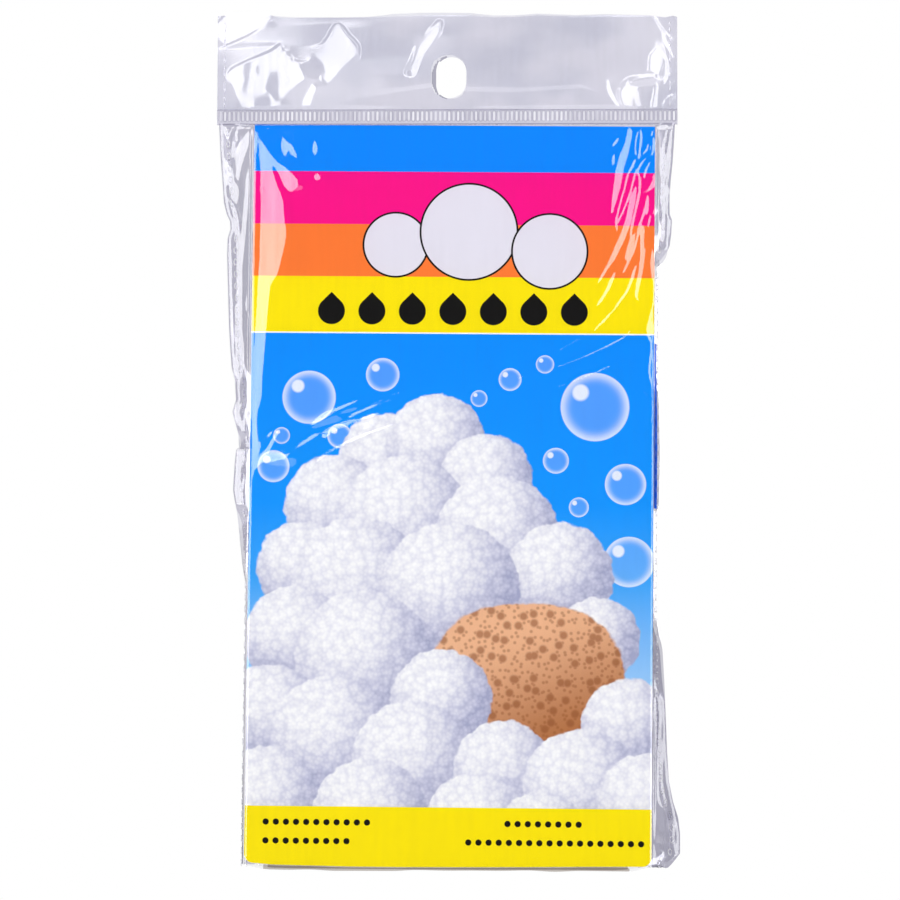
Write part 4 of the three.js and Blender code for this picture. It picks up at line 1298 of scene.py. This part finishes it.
def header_film(name, side, material):
    front = side < 0
    columns = spaced((-HALF_WIDTH, HALF_WIDTH, HEADER_CELL))
    x, z = np.meshgrid(columns, spaced((HEADER_TOP, SEAL_TOP, HEADER_CELL)))
    x, z, inside = round_hole(x, z, *(HOLE_FRONT if front else HOLE_BACK))
    seed = 120 if front else 160
    broad, fine = HEADER_WAVES
    lift = broad * soft_noise(x, z, 26, seed) + fine * soft_noise(x, z, 12, seed + 1)
    if front:
        fold = along(HEADER_FOLD, x)
        lift += HEADER_FOLD_RISE * smooth(fold - 0.9, fold + 0.9, z)
    lift *= smooth(HALF_WIDTH, HALF_WIDTH - 30, np.abs(x)) * smooth(SEAL_TOP, SEAL_TOP + 12, z)
    rim = along(HEADER_RIM, x)
    if front:
        folded = height_at(folded_film(HEADER_PATCHES, HEADER_LINES, **FILM_OF_HEADER), x, z)
        lift += folded * smooth(SEAL_TOP, SEAL_TOP + 1, z)
        rim = rim - along(FRONT_RIM_DROP, x)
    edge = smooth(HEADER_TOP - 5, HEADER_TOP, z)
    curl = smooth(HEADER_TOP - 0.5, HEADER_TOP, z) * smooth(HALF_WIDTH, HALF_WIDTH - 4, np.abs(x))
    lift += curl * HEADER_CURL * soft_noise(x, 0 * x, 15, seed + 9)
    points = np.dstack([x, side * (PLY + lift), z + (rim - HEADER_TOP) * edge])
    piece = sheet_from(name, points if front else points[:, ::-1])
    cut_hole(piece, inside if front else inside[:, ::-1])
    node = "header_front_ply" if front else "header_back_ply"
    return dress(piece, material, "bag", "clear_film", node)


def hole_edge_painted_shade(piece, material):
    """The edge of the back ply that shows in the front ply's hole, greyer with painted shade."""
    piece.data.materials.append(material)
    x, _, z = face_middles(piece)
    give_faces(piece, (np.hypot(x - HOLE_FRONT[0], 0.8 * z) < HOLE_FRONT[1] / 2 + 0.1) & (x < 0))


def crimped_seal(material):
    """The fused strip under the header: pressed ribs in a row on both faces and a plain lip."""
    columns = spaced((-HALF_WIDTH, HALF_WIDTH, SEAL_CELL[0]))
    x, z = np.meshgrid(columns, spaced((SEAL_TOP + 0.1, SEAL_LIP, SEAL_CELL[1])))
    count = np.floor(x / RIB_PITCH)
    upright = np.clip(np.abs(z - RIB_MIDDLE) - RIB_STRAIGHT, 0, None)
    edge = np.hypot(x - (count + 0.5) * RIB_PITCH, upright) - RIB_RADIUS
    press = 0.6 + 0.4 * soft_noise(count * 3.1, 0 * x, 9, 71)
    depth = SEAL_DEPTH + RIB_RISE * press * smooth(0.16, -0.16, edge)
    front = sheet_from("seal_front", np.dstack([x, -depth, z]))
    back = sheet_from("seal_back", np.dstack([x, depth, z])[:, ::-1])
    piece = join([front, back], "crimped_seal_ribs")
    return dress(piece, material, "bag", "weld", "crimped_seal")


def oval_bead(length, width, height):
    """One pressed bead: an oval rim round a sunken middle."""
    deselect()
    bpy.ops.mesh.primitive_circle_add(vertices=BEAD_CORNERS, radius=1.0, fill_type="NGON")
    bead = bpy.context.object

    def shape():
        for thickness, rise in ((0.3, 1.0), (0.22, -0.7)):
            bpy.ops.mesh.inset(thickness=thickness)
            bpy.ops.transform.translate(value=(0, 0, rise))

    edit(bead, shape)
    bead.data.transform(Matrix.Diagonal((width / 2 * MM, length / 2 * MM, height * MM, 1)))
    return bead


def side_welds(material):
    """Welds of the side fins: dashes beside the header and a chain of beads down the pocket."""
    upright = {face: Matrix.Rotation(-face * math.pi / 2, 4, "X") for face in (-1, 1)}
    for side, word in ((-1, "left"), (1, "right")):
        places = []
        for z in np.arange(*DASH_ROW):
            for face in (-1, 1):
                spot = place_at(side * HEADER_WELD, face * (PLY + 0.05), z)
                places.append(spot @ upright[face])
        dashes = copies(oval_bead(*WELD_DASH), places, f"header_weld_dashes_{word}")
        dress(dashes, material, "bag", "weld", f"header_weld_{word}")
        places = []
        for z in np.arange(*BEAD_ROW):
            x, y = fin_point(side, z, FIN_FOOT + WELD_WIDTH / 2, 0)
            ahead = fin_point(side, z, FIN_LENGTH, 0)
            turn = math.atan2(ahead[1] - y, abs(ahead[0]) - abs(x)) * side
            for face in (-1, 1):
                lie = Matrix.Rotation(turn, 4, "Z") @ place_at(0, face * (PLY + 0.2), 0)
                places.append(place_at(x, y, z) @ lie @ upright[face])
        beads = copies(oval_bead(*WELD_BEAD), places, f"pocket_weld_beads_{word}")
        dress(beads, material, "bag", "weld", f"pocket_weld_{word}")


# The card


def insert_card(material):
    deselect()
    bpy.ops.mesh.primitive_cube_add(size=1)
    card = named(bpy.context.object, "printed_card")
    size = (CARD_WIDTH * MM, CARD_THICKNESS * MM, CARD_HEIGHT * MM, 1)
    card.data.transform(Matrix.Diagonal(size))

    def bottom_corners(a, b):
        return a.z < 0 and b.z < 0 and a.y * b.y < 0

    def bottom_edges(a, b):
        low = max(a.z, b.z) < (0.001 - CARD_HEIGHT / 2) * MM
        return low and abs(a.x - b.x) > CARD_WIDTH / 2 * MM

    def edit_edges(test, action):
        def choose():
            for edge in card.data.edges:
                edge.select = test(*(card.data.vertices[i].co for i in edge.vertices))

        edit(card, action, choose, "EDGE")

    edit_edges(bottom_corners, lambda: bpy.ops.mesh.bevel(
        offset=CARD_CORNER * MM, segments=6, affect="EDGES",
    ))
    edit_edges(bottom_edges, lambda: bpy.ops.mesh.subdivide(number_cuts=CARD_FOOT_CUTS))
    for vertex in card.data.vertices:
        if vertex.co.z < 0:
            vertex.co.z -= along(CARD_BOW, vertex.co.x / MM) * MM
    card.data.transform(place_at(CARD_SHIFT, 0, CARD_MIDDLE) @ Matrix.Rotation(CARD_TILT, 4, "Y"))
    return dress(card, material, "card", "printed_card", "insert_card")


# The cap


def fold_line(half_width):
    """The letter fold seen from above: points in XY and the heading at each."""
    left = half_width - FOLD_PITCH / 2 - SHEET_DEPTH / 2
    right = half_width - FOLD_PITCH - SHEET_DEPTH / 2
    wing = min(WING_OVERLAP, right - 0.3)

    def run(start, end, y, heading, count):
        x = np.linspace(start, end, count)
        return np.stack([x, np.full(count, y), np.full(count, heading)], 1)

    def turn(x, y, radius, start, count):
        heading = np.linspace(start, start - math.pi, count + 2)[1:-1]
        return np.stack([x - radius * np.sin(heading), y + radius * np.cos(heading), heading], 1)

    return np.vstack([
        run(wing, -left, 0.0, math.pi, WING_POINTS),
        turn(-left, FOLD_PITCH / 2, FOLD_PITCH / 2, math.pi, 7),
        run(-left, right, FOLD_PITCH, 0.0, BACK_POINTS),
        turn(right, 0.0, FOLD_PITCH, 0.0, 9),
        run(right, -wing, -FOLD_PITCH, -math.pi, WING_POINTS),
    ])


def cap_outline(z):
    """Half the folded cap's width and the share of its depth at a height."""
    straight = CROWN_TOP - CROWN_SHOULDER
    top = np.clip((z - straight) / CROWN_SHOULDER, 0, 1)
    shrink = math.sqrt(1 - (1 - CROWN_TOP_SHARE ** 2) * top ** 2)
    neck = smooth(CASING_TOP + NECK_LENGTH, CASING_TOP, z)
    neck *= 1 - smooth(CASING_BOTTOM, FRILL_BOTTOM, z)
    half = (CAP_HALF_WIDTH + (NECK_HALF_WIDTH - CAP_HALF_WIDTH) * neck) * shrink
    return half, 1 - (1 - CROWN_TOP_SHARE) * top ** 2


def ply_offset(z):
    """Half the gap between the two plies of each third, which are pinched at the casing's seams."""
    half = SHEET_DEPTH / 2 - 0.1
    offset = half * smooth(CROWN_TOP, CROWN_TOP - 5, z)
    for seam in (CASING_TOP, CASING_BOTTOM):
        offset -= 0.3 * math.exp(-((z - seam) / 0.7) ** 2)
    return offset


def ply_point(x, y, heading, offset):
    """X and Y of a point of the cloth, off the fold line to one side."""
    away = y + np.cos(heading) * offset + FOLD_PITCH + SHEET_DEPTH / 2
    return x - np.sin(heading) * offset, away


def gathers(x, z):
    """How far the cloth is pushed back: pleats fan up from the hem and down into the frill, the
    crown is crumpled, and at the casing the cloth follows the elastic."""
    above = np.clip((z - CASING_TOP) / GATHER_LENGTH, 0, 1)
    below = np.clip((CASING_BOTTOM - z) / (CASING_BOTTOM - FRILL_BOTTOM), 0, 1)
    fan = x / (1 + 0.3 * above)
    broad = fan / BROAD_PLEAT + 1.1 * soft_noise(fan, 0.35 * z, 21, 201)
    fine = fan / FINE_PLEAT + soft_noise(fan, 0.5 * z, 14, 202)
    broad, fine = (1 - np.abs(np.sin(math.pi * count)) for count in (broad, fine))
    hem = (1 - above) ** 1.2
    pleats = hem * (0.6 * broad + 0.4 * fine * hem) * (1 - below)
    pleats = pleats + below * (0.75 * broad + 0.25 * fine)
    crumple = 0.6 * facets(x, 0.8 * z, 15, 210) + 0.4 * facets(x, z, 8, 220, (0.5, 1.9))
    share = np.clip(pleats + (1 - hem) * crumple, 0, 1)
    loose = GATHER_LOW + (GATHER_HIGH - GATHER_LOW) * share
    depth, width = ELASTIC_GATHER
    drawn = depth * (0.5 + 0.5 * np.cos(TAU * x / width)) + 0.3 * (fine - 0.5)
    held = smooth(CASING_TOP + 5, CASING_TOP - 0.5, z)
    held = held * smooth(CASING_BOTTOM - 4, CASING_BOTTOM + 0.5, z)
    return loose + (drawn - loose) * held


def cap_cloth(material):
    rows = []
    for z in spaced(*CLOTH_ROWS):
        half, depth = cap_outline(z)
        dome = CROWN_DOME * max((z - CROWN_TOP) / CROWN_SHOULDER + 1, 0) ** 3
        line = fold_line(half)
        plies = []
        for share, stations in ((-1.0, line), (1.0, line[::-1])):
            x, y = ply_point(*stations.T, share * ply_offset(z))
            lift = gathers(x, np.full_like(x, z))
            facing = np.sign(np.cos(stations[:, 2]) * share)
            # How deep a point lies in a gather as seen from its side, for painted shade
            trough_shade = 0.5 - facing * ((lift - GATHER_LOW) / (GATHER_HIGH - GATHER_LOW) - 0.5)
            drop = dome * (x / half) ** 2
            if z < CASING_BOTTOM:
                wave = FRILL_WAVE * (0.5 - soft_noise(x, 0 * x, 6, 230))
                drop = wave * (CASING_BOTTOM - z) / FRILL_WAVE_LENGTH
            plies.append(np.stack([x, CAP_FRONT + depth * y + lift, z - drop, trough_shade], 1))
        rows.append(np.vstack([*plies, plies[0][:1]]))
    grid = np.array(rows)
    piece = sheet_from("cap_cloth", grid[:, :, :3])
    trough_shades = piece.data.attributes.new("trough_shade", "FLOAT", "POINT")
    trough_shades.data.foreach_set("value", grid[::-1, :, 3].ravel())

    def close():
        bpy.ops.mesh.remove_doubles(threshold=0.00001)
        bpy.ops.mesh.normals_make_consistent(inside=False)

    edit(piece, close)
    nodes = ("cap_crown", "cap_hem_casing", "cap_ruffle")
    return dress(piece, material, "cap", "non_woven", *nodes)


def stitch_pattern():
    """One stitch: a short thread with worn ends."""
    deselect()
    bpy.ops.mesh.primitive_cylinder_add(
        vertices=6,
        radius=STITCH_RADIUS * MM,
        depth=STITCH_LENGTH * MM,
        rotation=(0, math.pi / 2, 0),
    )
    bpy.ops.object.transform_apply(location=True, rotation=True, scale=True)
    stitch = bpy.context.object
    edit(stitch, lambda: bpy.ops.mesh.bevel(offset=0.08 * MM, segments=2, affect="EDGES"))
    return stitch


def hem_stitches(material):
    """Two rows of stitches round the folded hem, over and under the elastic."""
    places = []
    for seam in (CASING_TOP, CASING_BOTTOM):
        half, depth = cap_outline(seam)
        line = fold_line(half)
        run = np.concatenate([[0], np.cumsum(np.hypot(*np.diff(line[:, :2], axis=0).T))])
        for start in np.arange(SEAM_END, run[-1] - SEAM_END, STITCH_PITCH):
            x, y, heading = (np.interp(start, run, line[:, i]) for i in range(3))
            x, y = ply_point(x, y, heading, ply_offset(seam) + STITCH_LIFT)
            lift = gathers(np.array([x]), np.array([seam]))[0]
            spot = place_at(x, CAP_FRONT + depth * y + lift, seam)
            places.append(spot @ Matrix.Rotation(heading, 4, "Z"))
    piece = copies(stitch_pattern(), places, "hem_stitches")
    return dress(piece, material, "cap", "non_woven")


# Stage


CAMERA_AZIMUTH = math.radians(1.338)
CAMERA_ELEVATION = math.radians(-4.875)
CAMERA_ROLL = math.radians(0.139)
CAMERA_TARGET = Vector((0.001, 0, -0.09756))
CAMERA_DISTANCE = 0.9
CAMERA_LENS = 139.27
FLOOR_LEVEL = -0.43
LAMP_DISTANCE = 1.2
# Azimuth, elevation, width, height, watts
LAMPS = {
    "front_left_softbox": (-26, 3, 0.47, 1.08, 6.2),
    "front_right_softbox": (28, 3, 0.44, 1.08, 5.5),
    "front_top_softbox": (0, 41, 1.3, 0.42, 6.0),
    "back_left_softbox": (160, 14, 0.5, 0.8, 5.0),
    "back_right_softbox": (-138, 20, 0.5, 0.8, 9.5),
}
AMBIENT = 0.05


def direction(azimuth, elevation):
    """From the object towards a stand point; azimuth 0 is in front, positive to the right."""
    return Vector((
        math.sin(azimuth) * math.cos(elevation),
        -math.cos(azimuth) * math.cos(elevation),
        math.sin(elevation),
    ))


def stage():
    deselect()
    bpy.ops.mesh.primitive_plane_add(size=5, location=(0, 0, FLOOR_LEVEL))
    floor = bpy.context.object
    floor.name = "floor"
    s = new_material("pale_floor")
    glossy, through, seen = (
        s.add("LightPath", None, f"Is {ray} Ray") for ray in ("Glossy", "Transmission", "Camera")
    )
    matte = s.add("BsdfDiffuse", {"Color": linear("F2F2F4")})
    white = s.add("Emission", {"Color": linear("FFFFFF"), "Strength": 1.0})
    share = s.math("MAXIMUM", s.math("MAXIMUM", glossy, through), 0.8 * seen)
    floor.data.materials.append(s.finish(s.blend(share, matte, white)))

    world = bpy.data.worlds.new("studio")
    bpy.context.scene.world = world
    s = Shader(world)
    dim = s.add("Background", {"Color": linear("FFFFFF"), "Strength": AMBIENT})
    white = s.add("Background", {"Color": linear("FFFFFF"), "Strength": 1.0})
    s.finish(s.blend(s.add("LightPath", None, "Is Camera Ray"), dim, white), "OutputWorld")

    for name, (azimuth, elevation, width, height, watts) in LAMPS.items():
        towards = direction(math.radians(azimuth), math.radians(elevation))
        lamp = bpy.data.lights.new(name, "AREA")
        lamp.shape = "RECTANGLE"
        lamp.size = width
        lamp.size_y = height
        lamp.energy = watts
        stand = bpy.data.objects.new(name, lamp)
        stand.location = CAMERA_TARGET + LAMP_DISTANCE * towards
        stand.rotation_euler = (-towards).to_track_quat("-Z", "Y").to_euler()
        bpy.context.scene.collection.objects.link(stand)


def camera():
    back = direction(CAMERA_AZIMUTH, CAMERA_ELEVATION)
    right = Vector((math.cos(CAMERA_AZIMUTH), math.sin(CAMERA_AZIMUTH), 0))
    up = back.cross(right)
    cosine, sine = math.cos(CAMERA_ROLL), math.sin(CAMERA_ROLL)
    rolled_right = cosine * right + sine * up
    rolled_up = cosine * up - sine * right
    data = bpy.data.cameras.new("camera")
    data.lens = CAMERA_LENS
    data.sensor_width = 36
    data.clip_start = 0.01
    stand = bpy.data.objects.new("camera", data)
    pose = Matrix((rolled_right, rolled_up, back)).transposed().to_4x4()
    pose.translation = CAMERA_TARGET + CAMERA_DISTANCE * back
    stand.matrix_world = pose
    bpy.context.scene.collection.objects.link(stand)
    bpy.context.scene.camera = stand


bpy.context.scene.view_settings.view_transform = "Standard"
camera()
stage()

# The header's lighter second tint paints soft reflections in patches
film_header = film_material("film_header", "E8E8F2", 0.13, 0.18, 0.22, "F2F1F9")
# Darker tint painted as shade on the hole's edge
film_lip_painted_shade = film_material("film_lip_painted_shade", "B4B3C2", 0.08, 0.12)
pocket_films = (
    film_material("film_on_card", "FDFDFE", 0.1, 0.07),
    film_material("film_beside", "DEDDE6", 0.12, 0.08, 0.2),
    # Brown tint that paints the hem's shadow
    film_material("film_hem_painted_shadow", "C4BDB7", 0.08, 0.1),
    # Darker tint: the bunched film's layers plus painted shade
    film_material("film_bunched_and_shaded", "D2D1DB", 0.11, 0.09, 0.2),
    # Blue tint that paints the card's reflection in the film
    film_material("film_blue_reflection", "1F5FD6", 0.05, 0.09, rim=0.15),
)

insert_card(card_print())
pocket_front_film(pocket_films)
pocket_back_film(pocket_films)
header_film("header_front_film", -1, film_header)
hole_edge_painted_shade(header_film("header_back_film", 1, film_header), film_lip_painted_shade)
crimped_seal(crimped_film())
side_welds(melted_film())
cloth = cap_cloth(cloth_material())
stitches = hem_stitches(thread_material())
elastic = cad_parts["cap_elastic"]
elastic.data.materials.clear()
elastic.data.materials.append(elastic_material())
